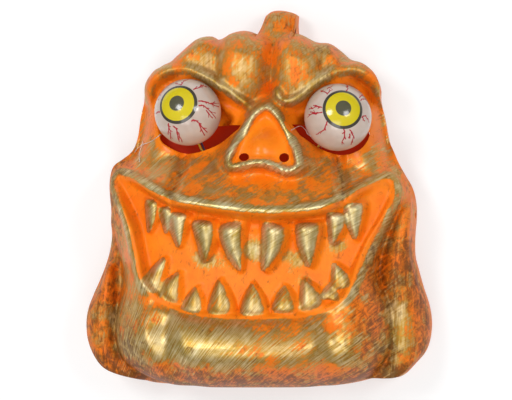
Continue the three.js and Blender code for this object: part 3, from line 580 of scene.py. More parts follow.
forehead = ease((y - 56) / 6)
jaw = ease((-58 - y) / 8) * ease((90 - np.abs(x)) / 8)
cheek = ease((30 - y) / 6) * ease((y + 40) / 20) * ease((80 - np.abs(x)) / 12)
beside = ease((np.abs(x + 3) - 56) / 12)
on_stem = ease((fields["stem"] + 1) / 2)
lip_edge = (1 - ease((np.abs(mouth + 2.6) - 1.6) / 1.2)) * ease((y + 62) / 8)
inner_brow = 1 - ease((np.abs(x - 3) - 30) / 25)
reached = ease((height - 3) / 24)
tooth_top = np.zeros(x.shape)
for tooth in teeth:
    if tooth[3] > CHIPPED_TOOTH_STANDS:
        crown = tooth_relief(tooth, x + TOOTH_GOLD_SHIFT, y)[1]
        tooth_top = np.maximum(tooth_top, crown)
on_tooth = ease((tooth_top - 0.4) / 0.4)

gold = GOLD["body"] + 0 * x
gold = mix(gold, GOLD["forehead"], forehead)
gold = mix(gold, GOLD["cheeks"], cheek)
gold = mix(gold, mix(*GOLD["jaw"], ease((x - 5) / 50)), jaw)
# Two spots of thicker gold across the jaw, which also lighten its bronze: partly paint, partly a
# painted highlight where the jaw faces the lamps
gold = gold + 0.35 * spot(-32, -86, 34, 12) + 0.3 * spot(58, -84, 18, 9)
gold = mix(gold, GOLD["below_the_jaw"], ease((-92 - y) / 14))
gold = mix(gold, GOLD["sides"], ease((np.abs(x) - 84) / 8))
gold = mix(gold, GOLD["lower_right"], ease((x - 58) / 18) * ease((-20 - y) / 20))
# More gold down the side lobes' crests; on the right one it is partly gold and partly a painted
# highlight, with less brown there too
gold = gold + 0.12 * spot(-92, -78, 5, 26) + 0.5 * spot(87, -78, 8, 24)
gold = gold - 0.3 * spot(5, 14, 30, 5) * ease((20 - y) / 6)
gold = mix(gold, GOLD["stem"], on_stem)
gold = mix(gold, mix(*GOLD["lips"], beside), lip_edge)
gold = mix(gold, 0, ease((mouth + 1.2 - 1.6 * jaw) / 1.5))
gold = mix(gold, GOLD["nose_edge"], 1 - ease((np.abs(nose - 0.4) - 1.6) / 1.8))
gold = mix(gold, 0, ease((nose - 2.2) / 2))
gold = mix(gold, 0, ease((socket + 2.5) / 2.5))
gold = mix(gold, mix(*GOLD["brows"], inner_brow), 1 - ease((brow - 2.2) / 2))
smudges = np.max([strength * spot(*smudge) for *smudge, strength in gold_smudges], axis=0)
gold = np.where(mouth > 0, np.maximum(gold, GOLD["smudges"] * smudges), gold)
tooth_gold = on_tooth * mix(*GOLD["teeth"], ease((y + 46) / 4))
gold = np.where(mouth > -3, np.maximum(gold, tooth_gold), gold)
gold = gold * mix(GOLD["low_down"], 1, reached)

brown = BROWN["body"] + 0 * x
brown = brown + BROWN["lower_right"] * ease((x - 50) / 25) * ease((-10 - y) / 20)
brown = brown + BROWN["right_side"] * ease((x - 78) / 8) * ease((30 - y) / 20)
brown = brown + BROWN["left_side"] * ease((-76 - x) / 10)
# Below the jaw the brown is partly dark streaks and partly painted shade under the chin
brown = brown + BROWN["below_the_jaw"] * ease((-93 - y) / 14)
brown = brown + BROWN["lower_teeth"] * (on_tooth > 0) * (y < -44)
# Darker brown down the cheek grooves
brown = brown + BROWN["cheek_grooves"] * fields["crease"] * cheek * ease((np.abs(x) - 20) / 10)
brown = brown + 0.12 * spot(38, 80, 16, 14) + 0.25 * spot(-72, -90, 12, 22)
# Less brown on the right lobe's crest, part of its painted highlight
brown = np.minimum(brown - 0.4 * spot(92, -76, 8, 20), BROWN["most"])
brown = mix(brown, BROWN["stem"], on_stem)
brown = np.where((mouth > 0) | (socket > 0) | (nose > 2), BROWN["mouth"] * (mouth > 0), brown)
brown = brown * mix(BROWN["low_down"], 1, reached)

# Share of strokes that run down the face, where the others fan out over it
upright = np.maximum(0.6 * ease((np.abs(x) - 78) / 8), 0.5 * ease((mouth + 1) / 2))
upright = mix(upright, 0.25, ease((tooth_top - 0.2) / 0.2) * (mouth > -3))
upright = np.maximum(upright, 0.5 * forehead)
upright = np.maximum(upright, ease((y - 100) / 6))


def set_attribute(mesh, name, values):
    layer = mesh.attributes.new(name, "FLOAT", "POINT")
    layer.data.foreach_set("value", np.asarray(values, np.float32))


def set_shape(mesh, points):
    """Moves the mesh's points to their places in the frame and shades it smooth."""
    mesh.vertices.foreach_set("co", np.ravel(points))
    mesh.polygons.foreach_set("use_smooth", np.ones(len(mesh.polygons), bool))
    mesh.update()


set_attribute(face_mesh, "gold", np.where(is_front, np.clip(gold, 0, 1.2), 0))
set_attribute(face_mesh, "brown", np.where(is_front, np.clip(brown, 0, 1), 0))
set_attribute(face_mesh, "upright", upright)

# The left eyeball is round, so its middle tells where the face's own zero point lies
ball_low, ball_high = (np.array(corner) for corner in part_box("eyeball_left"))
face_zero = np.append(((ball_low + ball_high) / 2)[:2] - np.array(eye_centres["left"]) * MM, 0)
node_low, node_high = (np.array(corner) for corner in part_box("mask_shell"))
fit = (node_high - node_low) / (at.max(0) - at.min(0))
set_shape(face_mesh, node_low + (at - at.min(0)) * fit)
SHARP_ANGLE = math.radians(55)
face_mesh.set_sharp_from_angle(angle=SHARP_ANGLE)


def linear(colour):
    """An sRGB hex colour as linear red, green, blue and 1."""
    parts = [int(colour[k:k + 2], 16) / 255 for k in (1, 3, 5)]
    return (*(c / 12.92 if c <= 0.04045 else ((c + 0.055) / 1.055) ** 2.4 for c in parts), 1)


def add_node(tree, kind, links=(), ramp=(), **settings):
    """Adds a node with its settings, the values or links of its inputs and its ramp."""
    made = tree.nodes.new(kind)
    for name, value in settings.items():
        setattr(made, name, value)
    for socket, value in dict(links).items():
        if isinstance(value, bpy.types.NodeSocket):
            tree.links.new(value, made.inputs[socket])
        else:
            made.inputs[socket].default_value = value
    for k, (position, colour) in enumerate(ramp):
        stops = made.color_ramp.elements
        stop = stops[k] if k < 2 else stops.new(position)
        stop.position = position
        stop.color = colour
    return made


def new_material(name):
    material = bpy.data.materials.new(name)
    material.use_nodes = True
    tree = material.node_tree
    return material, tree, tree.nodes["Principled BSDF"]


def painted_pvc():
    """Moulded orange PVC, semi-gloss and a little waxy, dry-brushed with gold bronze paint.
    Strokes are about 1 mm wide and fan out from the lower left; brown glaze sits over them."""
    # Sizes in millimetres of the bristles' strokes, a patch of paint, a grain and a wrinkled stain
    stroke_length = 15.4
    stroke_depth = 10
    upright_stroke = (1.43, 12.5, 3.85)
    patch = 11.8
    grain = 1.43
    wrinkle = (3.57, 5, 9.1)
    material, tree, shader = new_material("moulded_pvc_with_bronze_paint")
    place = add_node(tree, "ShaderNodeTexCoord").outputs["Object"]

    def brushed(fan_centre, stroke_width):
        """Noise drawn out along lines that fan out from a point; the width holds at mid face."""
        fan = add_node(tree, "ShaderNodeVectorMath", {0: place, 1: fan_centre},
                       operation="SUBTRACT").outputs[0]
        parts = add_node(tree, "ShaderNodeSeparateXYZ", {0: fan}).outputs
        angle = add_node(tree, "ShaderNodeMath", {0: parts[1], 1: parts[0]},
                         operation="ARCTAN2").outputs[0]
        flat = add_node(tree, "ShaderNodeVectorMath", {0: fan, 1: (1.0, 1.0, 0.0)},
                        operation="MULTIPLY").outputs[0]
        radius = add_node(tree, "ShaderNodeVectorMath", {0: flat},
                          operation="LENGTH").outputs["Value"]
        fanned = add_node(tree, "ShaderNodeCombineXYZ",
                          {0: angle, 1: radius, 2: parts[2]}).outputs[0]
        stroke_angle = stroke_width * MM / math.hypot(*fan_centre)
        stroke = (stroke_angle, stroke_length * MM, stroke_depth * MM)
        fanned = add_node(tree, "ShaderNodeVectorMath", {0: fanned, 1: stroke},
                          operation="DIVIDE").outputs[0]
        return add_node(tree, "ShaderNodeTexNoise", {"Vector": fanned, "Scale": 1.0, "Detail": 3.0,
                                                     "Roughness": 0.5}).outputs[0]

    up_the_face = add_node(tree, "ShaderNodeSeparateXYZ", {0: place}).outputs[1]
    above_lips = add_node(tree, "ShaderNodeMapRange", {"Value": up_the_face, "From Min": -40 * MM,
                                                       "From Max": -20 * MM}).outputs[0]
    low_fan = brushed((-110 * MM, -210 * MM, 0), 1.03)
    high_fan = brushed((-300 * MM, -220 * MM, 0), 0.775)
    slanted = add_node(tree, "ShaderNodeMix", {0: above_lips, 2: low_fan, 3: high_fan}).outputs[0]
    stretched = add_node(tree, "ShaderNodeVectorMath",
                         {0: place, 1: [size * MM for size in upright_stroke]},
                         operation="DIVIDE").outputs[0]
    vertical = add_node(tree, "ShaderNodeTexNoise", {"Vector": stretched, "Scale": 1.0,
                                                     "Detail": 3.0, "Roughness": 0.5}).outputs[0]
    turn = add_node(tree, "ShaderNodeAttribute", attribute_name="upright").outputs["Fac"]
    strokes = add_node(tree, "ShaderNodeMix", {0: turn, 2: slanted, 3: vertical}).outputs[0]
    patches = add_node(tree, "ShaderNodeTexNoise", {"Vector": place, "Scale": 1 / (patch * MM),
                                                    "Detail": 5.0, "Roughness": 0.6}).outputs[0]
    grains = add_node(tree, "ShaderNodeTexNoise", {"Vector": place, "Scale": 1 / (grain * MM),
                                                   "Detail": 2.0}).outputs[0]
    drawn_out = add_node(tree, "ShaderNodeVectorMath",
                         {0: place, 1: [size * MM for size in wrinkle]},
                         operation="DIVIDE").outputs[0]
    wrinkles = add_node(tree, "ShaderNodeTexNoise", {"Vector": drawn_out, "Scale": 1.0,
                                                     "Detail": 4.0, "Roughness": 0.65,
                                                     "Distortion": 0.8}).outputs[0]

    def weighed(*terms):
        """The first value and the others by their weights, added up."""
        total = terms[0]
        for value, weight in terms[1:]:
            total = add_node(tree, "ShaderNodeMath", {0: value, 1: weight, 2: total},
                             operation="MULTIPLY_ADD").outputs[0]
        return total

    def stepped(value, low, high):
        """0 below the low value and 1 above the high one."""
        return add_node(tree, "ShaderNodeMapRange", {"Value": value, "From Min": low,
                                                     "From Max": high},
                        interpolation_type="SMOOTHSTEP").outputs[0]

    # The gold carries painted highlights on the jaw and the side lobes, and the brown painted shade
    # below the jaw
    density = add_node(tree, "ShaderNodeAttribute", attribute_name="gold").outputs["Fac"]
    stain_and_shade = add_node(tree, "ShaderNodeAttribute", attribute_name="brown").outputs["Fac"]
    laid = weighed(density, (strokes, 1.1), (patches, 1.6), (grains, 0.3))
    covered = stepped(laid, 1.84, 2.16)
    soiled_and_shaded = stepped(weighed(stain_and_shade, (wrinkles, 1.2), (strokes, -0.9)), 0.3, 0.78)

    tone = weighed(0.88, (strokes, 0.7), (patches, 0.6), (density, 0.25))
    orange = add_node(tree, "ShaderNodeValToRGB", {0: patches},
                      ramp=[(0.3, linear("#de6c10")), (0.7, linear("#ec8010"))]).outputs[0]
    bronze = add_node(tree, "ShaderNodeValToRGB",
                      {0: add_node(tree, "ShaderNodeMapRange",
                                   {"Value": tone, "From Min": 1.3, "From Max": 2.1}).outputs[0]},
                      ramp=[(0.0, linear("#7f6522")), (1.0, linear("#f4ecc4")),
                            (0.45, linear("#a68a3c"))]).outputs[0]
    opaque = add_node(tree, "ShaderNodeMath", {0: covered, 1: weighed(0.64, (density, 0.34))},
                      operation="MULTIPLY").outputs[0]
    colour = add_node(tree, "ShaderNodeMix", {0: opaque, 6: orange, 7: bronze},
                      data_type="RGBA").outputs[2]
    # Brown glaze, below the jaw partly painted shade
    glaze_and_shade = add_node(tree, "ShaderNodeMath", {0: soiled_and_shaded, 1: 0.85}, operation="MULTIPLY").outputs[0]
    colour = add_node(tree, "ShaderNodeMix", {0: glaze_and_shade, 6: colour, 7: linear("#56300e")},
                      data_type="RGBA").outputs[2]
    tree.links.new(colour, shader.inputs["Base Color"])
    bare = add_node(tree, "ShaderNodeMath", {0: 1.0, 1: glaze_and_shade}, operation="SUBTRACT").outputs[0]
    metal = add_node(tree, "ShaderNodeMath", {0: covered, 1: bare}, operation="MULTIPLY").outputs[0]
    metal = add_node(tree, "ShaderNodeMath", {0: metal, 1: 0.8}, operation="MULTIPLY").outputs[0]
    tree.links.new(metal, shader.inputs["Metallic"])
    rough = weighed(0.22, (covered, 0.1), (patches, 0.12), (stain_and_shade, 0.5), (turn, 0.2))
    tree.links.new(rough, shader.inputs["Roughness"])
    relief = weighed(add_node(tree, "ShaderNodeMath", {0: covered, 1: strokes},
                              operation="MULTIPLY").outputs[0], (wrinkles, 0.2), (grains, 0.15))
    bump = add_node(tree, "ShaderNodeBump", {"Height": relief, "Strength": 0.4,
                                             "Distance": 0.2 * MM}).outputs[0]
    tree.links.new(bump, shader.inputs["Normal"])
    shader.inputs["Specular IOR Level"].default_value = 0.22
    shader.inputs["Subsurface Weight"].default_value = 0.08
    shader.inputs["Subsurface Radius"].default_value = (1.0, 0.35, 0.1)
    shader.inputs["Subsurface Scale"].default_value = 2 * MM
    return material


face_mesh.materials.clear()
face_mesh.materials.append(painted_pvc())
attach(face_piece, "root")
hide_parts("mask_shell")

# Eyeballs
# Blow-moulded balls of milky polystyrene, 40 mm across, with the lamp inside. The iris and the
# veins are printed on the outside. Each is glued into its socket by its flat back.
CAMERA_YAW = math.radians(6)
CAMERA_ROLL = math.radians(2)
look_back = np.array([math.sin(CAMERA_YAW), 0, math.cos(CAMERA_YAW)])
level_right = np.array([math.cos(CAMERA_YAW), 0, -math.sin(CAMERA_YAW)])
look_right = level_right * math.cos(CAMERA_ROLL) + np.array([0, math.sin(CAMERA_ROLL), 0])
look_up = np.array([0, math.cos(CAMERA_ROLL), 0]) - level_right * math.sin(CAMERA_ROLL)

# Gaze: its tilt away from the viewer in degrees and the way it tilts. Veins: their points as seen,
# in millimetres from the ball's middle.
eyes = {
    "left": {"tilt": 22.2, "towards": (-0.795, 0.606), "veins": [
        [(-3.5, 15.6), (-2, 18.4), (0.8, 19.2)], [(-4, 16), (-7, 17)],
        [(4, 12.7), (7.4, 14.1), (8.8, 15.6), (12.8, 14.4)], [(7.4, 14.1), (9.5, 16)],
        [(7.1, 5.7), (11, 5.4), (13.4, 4.5), (18.8, 5.1)], [(13.4, 4.5), (18.8, 3)],
        [(7.3, 3), (9.8, 3.3), (12.8, 0.8), (17, -4)], [(11.6, 0.2), (15.2, -4)],
        [(3.1, -6.1), (5.6, -5.8), (8, -8.2), (12, -12.4)], [(7.4, -7.6), (10.4, -14.2)],
        [(-10.7, -7.4), (-10.1, -11.2), (-9.8, -16.3)], [(-10.7, -10), (-11.3, -13.6)],
        [(-8, -9), (-6.5, -10), (-4.7, -13), (-3.1, -18.2)], [(-5.9, -12.4), (-4.7, -17.8)],
        [(-16.2, -0.4), (-18.6, -1.3)],
        [(-14.4, 12.9), (-15.8, 10.5), (-17, 6.9)],
    ]},
    "right": {"tilt": 14.9, "towards": (0.46, 0.89), "veins": [
        [(-9, 15.6), (-10.2, 14.6), (-6.5, 13.4), (-3.8, 15.6)], [(-6.6, 16.4), (-3.5, 18.2)],
        [(4.9, 18.8), (5.5, 16.4), (4.3, 15.2)],
        [(12.1, 11), (13.9, 12.8), (15.7, 12.2)], [(12.7, 9.2), (15.1, 10.4), (17.5, 8.6)],
        [(13.3, -0.8), (15.1, 0.2), (16.9, -1.6), (17.9, -3.4)], [(13.9, -1), (15.1, -2.8)],
        [(-10.2, 5), (-13.2, 6), (-14.4, 5.2), (-17.4, 4.4)], [(-13.2, 6), (-15, 6.4)],
        [(-10.2, 2), (-13.2, 1.4), (-15.6, 1.6), (-18.2, -0.4)], [(-12.6, 2), (-16.8, 2.6)],
        [(-7.2, -3.4), (-8.4, -7), (-11.4, -9.4), (-13.4, -10.6)],
        [(2.5, -8), (3.1, -11.8), (1.9, -16.6)],
        [(6.1, -8.2), (7.9, -10.6), (8.3, -13), (7.3, -16.6)], [(6.1, -10.6), (5.9, -13)],
    ]},
}
# Rings away from the middle of the iris, close together where the veins run
ring_angles = np.radians(np.concatenate([np.linspace(1.5, 39, 26), np.linspace(39.6, 100, 100),
                                         np.linspace(104, 177, 20)]))
BALL_RAYS = 512
FLAT_BACK = SHELF_HEIGHT + EYE_GAP
VEIN_WANDER = 0.28
VEIN_THINNING = 0.18
BRANCH_ONWARD = 0.9
BRANCH_SIDEWAYS = 0.7


def as_seen(offset):
    """A unit direction on a ball from its place as seen, in shares of the ball's radius."""
    across, up = offset
    out = math.sqrt(max(1 - across * across - up * up, 0.0025))
    return across * look_right + up * look_up + out * look_back


def eyeball(side):
    eye = eyes[side]
    tilt = math.radians(eye["tilt"])
    gaze = as_seen([math.sin(tilt) * value / math.hypot(*eye["towards"])
                    for value in eye["towards"]])
    beside = np.cross(gaze, (0.0, 1.0, 0.0))
    beside = beside / np.linalg.norm(beside)
    above = np.cross(beside, gaze)
    turns = np.arange(BALL_RAYS) * 2 * math.pi / BALL_RAYS
    spread = beside * np.cos(turns)[:, None] + above * np.sin(turns)[:, None]
    rings = [gaze * math.cos(a) + spread * math.sin(a) for a in ring_angles]
    directions = np.concatenate([[gaze], *rings, [-gaze]])
    cx, cy = eye_centres[side]
    points = directions * EYE_RADIUS + (cx, cy, EYE_HEIGHT)
    points[:, 2] = np.maximum(points[:, 2], FLAT_BACK)
    last = len(points) - 1
    faces = lattice_faces(BALL_RAYS, len(ring_angles), 0, False)
    end = last - BALL_RAYS
    faces += [(last, end + (i + 1) % BALL_RAYS, end + i) for i in range(BALL_RAYS)]
    piece = new_piece(f"eyeball_{side}_moulded", points, faces)

    # Each vein wanders by a seeded random step between its points
    wander = np.random.default_rng(7 if side == "left" else 8)
    nearest_vein = np.full(len(points), 9.0)
    for vein in eye["veins"]:
        knots = np.array(vein, float)
        steps = []
        for start, finish in zip(knots[:-1], knots[1:]):
            for t in (0, 1 / 3, 2 / 3):
                steps.append(mix(start, finish, t) + wander.normal(0, VEIN_WANDER, 2) * (t > 0))
        steps.append(knots[-1])
        strokes = list(zip(steps[:-1], steps[1:]))
        for start, finish in strokes[1::2]:
            onward = finish - start
            sideways = np.array([-onward[1], onward[0]]) * wander.choice([-1, 1])
            branch_end = start + BRANCH_ONWARD * onward + BRANCH_SIDEWAYS * sideways
            strokes.append((start, branch_end))
        for k, (start, finish) in enumerate(strokes):
            start, finish = (as_seen(end / EYE_RADIUS) * EYE_RADIUS for end in (start, finish))
            along = finish - start
            t = np.clip((directions * EYE_RADIUS - start) @ along / max(along @ along, 1e-9), 0, 1)
            away = np.linalg.norm(directions * EYE_RADIUS - start - t[:, None] * along, axis=1)
            nearest_vein = np.minimum(nearest_vein, away + VEIN_THINNING * k / len(strokes))
    set_attribute(piece.data, "vein", nearest_vein)
    set_attribute(piece.data, "iris", np.degrees(np.arccos(np.clip(directions @ gaze, -1, 1))))
    set_shape(piece.data, points * MM + face_zero)
    return piece


def printed_polystyrene():
    """Glossy milky polystyrene with opaque printed rings and thin red lines."""
    material, tree, shader = new_material("printed_milky_polystyrene")
    place = add_node(tree, "ShaderNodeTexCoord").outputs["Object"]
    angle = add_node(tree, "ShaderNodeAttribute", attribute_name="iris").outputs["Fac"]
    vein = add_node(tree, "ShaderNodeAttribute", attribute_name="vein").outputs["Fac"]
    uneven = add_node(tree, "ShaderNodeTexNoise", {"Vector": place, "Scale": 1 / (2.38 * MM),
                                                   "Detail": 3.0}).outputs[0]
    cloudy = add_node(tree, "ShaderNodeTexNoise", {"Vector": place,
                                                   "Scale": 1 / (11 * MM)}).outputs[0]
    milky = add_node(tree, "ShaderNodeValToRGB", {0: cloudy},
                     ramp=[(0.3, linear("#b29e92")), (0.7, linear("#c2b2a6"))]).outputs[0]
    # Ink runs a little, so the distance from a vein's middle, in millimetres, is made uneven
    wobble = add_node(tree, "ShaderNodeMath", {0: uneven, 1: 0.5, 2: vein},
                      operation="MULTIPLY_ADD").outputs[0]
    line = add_node(tree, "ShaderNodeMapRange", {"Value": wobble, "From Min": 0.82,
                                                 "From Max": 0.5},
                    interpolation_type="SMOOTHSTEP").outputs[0]
    colour = add_node(tree, "ShaderNodeMix", {0: line, 6: milky, 7: linear("#a11c2a")},
                      data_type="RGBA").outputs[2]
    # Dark ring, iris and pupil, each out to its angle from the middle of the gaze
    for edge, shade in ((36.2, "#3d382f"), (30.5, "#c4b214"), (13.4, "#4a4834")):
        inside = add_node(tree, "ShaderNodeMapRange", {"Value": angle, "From Min": edge + 0.25,
                                                       "From Max": edge - 0.25}).outputs[0]
        colour = add_node(tree, "ShaderNodeMix", {0: inside, 6: colour, 7: linear(shade)},
                          data_type="RGBA").outputs[2]
    tree.links.new(colour, shader.inputs["Base Color"])
    shader.inputs["Roughness"].default_value = 0.16
    shader.inputs["Subsurface Weight"].default_value = 0.15
    shader.inputs["Subsurface Radius"].default_value = (1.0, 0.7, 0.6)
    shader.inputs["Subsurface Scale"].default_value = 1.5 * MM
    return material


ball_material = printed_polystyrene()
for side in eyes:
    ball = eyeball(side)
    ball.data.materials.append(ball_material)
    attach(ball, "root")
    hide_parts(f"eyeball_{side}")


# Film behind the eye openings and the nostrils
# One sheet of dark red see-through acetate, 0.5 mm thick, so that the wearer sees out unseen. It is
# cut by hand to cover the openings and taped to the inside of the face.
def red_acetate():
    """Clear dark red acetate film, 0.5 mm, glossy and not quite flat."""
    material, tree, shader = new_material("red_acetate_film")
    place = add_node(tree, "ShaderNodeTexCoord").outputs["Object"]
    waves = add_node(tree, "ShaderNodeTexNoise", {"Vector": place, "Scale": 1 / (33 * MM),
                                                  "Detail": 1.0}).outputs[0]
    colour = add_node(tree, "ShaderNodeValToRGB", {0: waves},
                      ramp=[(0.3, linear("#7c1406")), (0.7, linear("#8a1c08"))]).outputs[0]
    tree.links.new(colour, shader.inputs["Base Color"])
    bump = add_node(tree, "ShaderNodeBump", {"Height": waves, "Strength": 0.5,
                                             "Distance": 2 * MM}).outputs[0]
    tree.links.new(bump, shader.inputs["Normal"])
    # Painted light: the film glows a little, standing in for the room's light that comes through it
    # from behind
    shader.inputs["Emission Color"].default_value = linear("#8a1a04")
    shader.inputs["Emission Strength"].default_value = 0.55
    shader.inputs["Specular IOR Level"].default_value = 0.06
    shader.inputs["Roughness"].default_value = 0.25
    shader.inputs["IOR"].default_value = 1.49
    return material


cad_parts["eye_film"].material_slots[0].material = red_acetate()

# Wires
# Each eyeball hangs on a pair of thin wires of PVC-covered copper, soldered on inside it. They slip
# behind the face beside the eye opening and run on to the battery box.
WIRE_DIAMETER = 1.2
WIRE_CLEARANCE = 0.4
STRAND_STEP = 0.6
BEAD_TO_STRAND = 2.2
wires = {
    "lead_left_yellow": ("left", (2.4, -13.1, -14.9), -0.9, "#d8b01c"),
    "lead_left_blue": ("left", (4.6, -12.6, -14.9), 0.9, "#232a4c"),
    "lead_right_yellow": ("right", (-9.6, -13.4, -11.5), -0.9, "#d8b01c"),
    "lead_right_red": ("right", (-7.6, -14.2, -12), 0.9, "#a8241c"),
}
wire_ways = {
    "left": [(-34.5, 30, 43), (-30, 22, 43), (-22, 6, 47), (-13, -10, 55), (-9, -18.5, 60)],
    "right": [(35.5, 31, 43), (31, 22, 43), (22, 6, 47), (13, -10, 55), (9, -18.5, 60)],
}


def strand_group(name, with_bead):
    """Geometry Nodes: round strands along the lines given, uneven if asked, with beads if asked."""
    group = bpy.data.node_groups.new(name, "GeometryNodeTree")
    for label, kind in (("Line", "NodeSocketGeometry"), ("Diameter", "NodeSocketFloat"),
                        ("Unevenness", "NodeSocketFloat"), ("Material", "NodeSocketMaterial")):
        group.interface.new_socket(label, in_out="INPUT", socket_type=kind)
    group.interface.new_socket("Strand", in_out="OUTPUT", socket_type="NodeSocketGeometry")
    given = group.nodes.new("NodeGroupInput").outputs
    line = add_node(group, "GeometryNodeMeshToCurve", {"Mesh": given["Line"]}).outputs["Curve"]
    line = add_node(group, "GeometryNodeResampleCurve", {"Curve": line, "Length": STRAND_STEP * MM},
                    mode="LENGTH")
    rough = add_node(group, "ShaderNodeTexNoise", {"Scale": 1 / (2.5 * MM),
                                                   "Detail": 1.0}).outputs[0]
    size = add_node(group, "ShaderNodeMapRange", {"Value": rough, "From Min": 0.3, "From Max": 0.7,
                                                  "To Min": 1.0}, clamp=False)
    spread = add_node(group, "ShaderNodeMath", {0: given["Unevenness"], 1: 1.0}, operation="ADD")
    group.links.new(spread.outputs[0], size.inputs["To Max"])
    radius = add_node(group, "ShaderNodeMath", {0: given["Diameter"], 1: 0.5},
                      operation="MULTIPLY").outputs[0]
    profile = add_node(group, "GeometryNodeCurvePrimitiveCircle",
                       {"Resolution": 12, "Radius": radius}).outputs["Curve"]
    tube = add_node(group, "GeometryNodeCurveToMesh",
                    {"Curve": line.outputs["Curve"], "Profile Curve": profile,
                     "Scale": size.outputs["Result"], "Fill Caps": True}).outputs["Mesh"]
    parts = [add_node(group, "GeometryNodeSetShadeSmooth", {0: tube}).outputs[0]]
    if with_bead:
        bead = add_node(group, "GeometryNodeMeshIcoSphere", {"Subdivisions": 3}).outputs["Mesh"]
        ends = add_node(group, "GeometryNodeCurveEndpointSelection", {}).outputs[0]
        scale = add_node(group, "ShaderNodeMath", {0: radius, 1: BEAD_TO_STRAND},
                         operation="MULTIPLY")
        parts.append(add_node(group, "GeometryNodeInstanceOnPoints",
                              {"Points": line.outputs["Curve"], "Selection": ends,
                               "Instance": bead, "Scale": scale.outputs[0]}).outputs[0])
    joined = group.nodes.new("GeometryNodeJoinGeometry")
    for part in parts:
        group.links.new(part, joined.inputs[0])
    real = add_node(group, "GeometryNodeRealizeInstances", {0: joined.outputs[0]}).outputs[0]
    coated = add_node(group, "GeometryNodeSetMaterial", {"Geometry": real,
                                                         "Material": given["Material"]}).outputs[0]
    add_node(group, "NodeGroupOutput", {0: coated})
    return group


def strand(name, group, lines, diameter, unevenness, material):
    """Builds a piece from smooth lines through the points given, run through the group."""
    points = []
    edges = []
    for line in lines:
        path = smooth_path(line, steps=10) * MM + face_zero
        edges += [(len(points) + k, len(points) + k + 1) for k in range(len(path) - 1)]
        points += path.tolist()
    mesh = bpy.data.meshes.new(name)
    mesh.from_pydata(points, edges, [])
    piece = bpy.data.objects.new(name, mesh)
    bpy.context.scene.collection.objects.link(piece)
    modifier = piece.modifiers.new("strand", "NODES")
    modifier.node_group = group
    values = {"Diameter": diameter, "Unevenness": unevenness, "Material": material}
    for item in group.interface.items_tree:
        if item.in_out == "INPUT" and item.name in values:
            modifier[item.identifier] = values[item.name]
    bpy.context.view_layer.update()
    finished_mesh(piece)
    return piece


def wire_pvc(name, shade):
    """Thin soft PVC insulation, satin, faintly ribbed by the strands of copper in it."""
    material, tree, shader = new_material(name)
    place = add_node(tree, "ShaderNodeTexCoord").outputs["Object"]
    ribs = add_node(tree, "ShaderNodeTexWave", {"Vector": place, "Scale": 1 / (1.11 * MM),
                                                "Distortion": 2.0}).outputs["Fac"]
    dusty = add_node(tree, "ShaderNodeTexNoise", {"Vector": place,
                                                  "Scale": 1 / (2 * MM)}).outputs[0]
    colour = add_node(tree, "ShaderNodeMix", {0: dusty, 6: linear(shade), 7: linear("#6b5a40")},
                      data_type="RGBA", clamp_factor=True)
    faint = add_node(tree, "ShaderNodeMath", {0: dusty, 1: 0.25}, operation="MULTIPLY").outputs[0]
    tree.links.new(faint, colour.inputs[0])
    tree.links.new(colour.outputs[2], shader.inputs["Base Color"])
    bump = add_node(tree, "ShaderNodeBump", {"Height": ribs, "Strength": 0.3,
                                             "Distance": 0.1 * MM}).outputs[0]
    tree.links.new(bump, shader.inputs["Normal"])
    shader.inputs["Roughness"].default_value = 0.4
    return material


wire_group = strand_group("wire_along_line", False)
for node, (side, leave, shift, shade) in wires.items():
    way_out = Vector(leave).normalized() * (EYE_RADIUS + WIRE_DIAMETER / 2 + WIRE_CLEARANCE)
    start = Vector((*eye_centres[side], EYE_HEIGHT)) + way_out
    route = [tuple(start)] + [(px + shift, py, pz) for px, py, pz in wire_ways[side]]
    wire = strand(f"{node}_covered", wire_group, [route], WIRE_DIAMETER * MM, 0.0,
                  wire_pvc(f"pvc_wire_{node}", shade))
    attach(wire, "root")
    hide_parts(node)

# Glue
# Hot-melt glue holds the eyeballs. As the gun was drawn away it pulled clear threads over the edges
# of the sockets, each with a small bead at its ends.
THREAD_DIAMETER = 0.3
THREAD_UNEVENNESS = 0.9
glue_threads = [
    [(-79.7, 27.2, 21.3), (-76.6, 30, 27.2), (-72.6, 31.8, 32.3), (-66.7, 33.4, 39.9),
     (-60.4, 37.6, 44)],
    [(-73.4, 33.3, 31), (-74.4, 29, 32.4), (-74.6, 24.6, 35), (-73.6, 21, 37.7)],
    [(21.3, 41.9, 67.2), (25.3, 44.9, 55), (28, 43.2, 50.3), (29.9, 40.3, 51.6),
     (32, 39.1, 59)],
]


def hot_melt():
    """Clear hot-melt glue, waxy and a little milky, with a soft gloss."""
    material, tree, shader = new_material("hot_melt_glue")
    place = add_node(tree, "ShaderNodeTexCoord").outputs["Object"]
    milky = add_node(tree, "ShaderNodeTexNoise", {"Vector": place,
                                                  "Scale": 1 / (1.67 * MM)}).outputs[0]
    colour = add_node(tree, "ShaderNodeValToRGB", {0: milky},
                      ramp=[(0.3, linear("#d9cfc4")), (0.7, linear("#f2ece2"))]).outputs[0]
    tree.links.new(colour, shader.inputs["Base Color"])
    shader.inputs["Roughness"].default_value = 0.25
    shader.inputs["Transmission Weight"].default_value = 0.4
    return material


glue_group = strand_group("glue_along_line", True)
glue = strand("glue_threads", glue_group, glue_threads, THREAD_DIAMETER * MM, THREAD_UNEVENNESS,
              hot_melt())
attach(glue, "root")

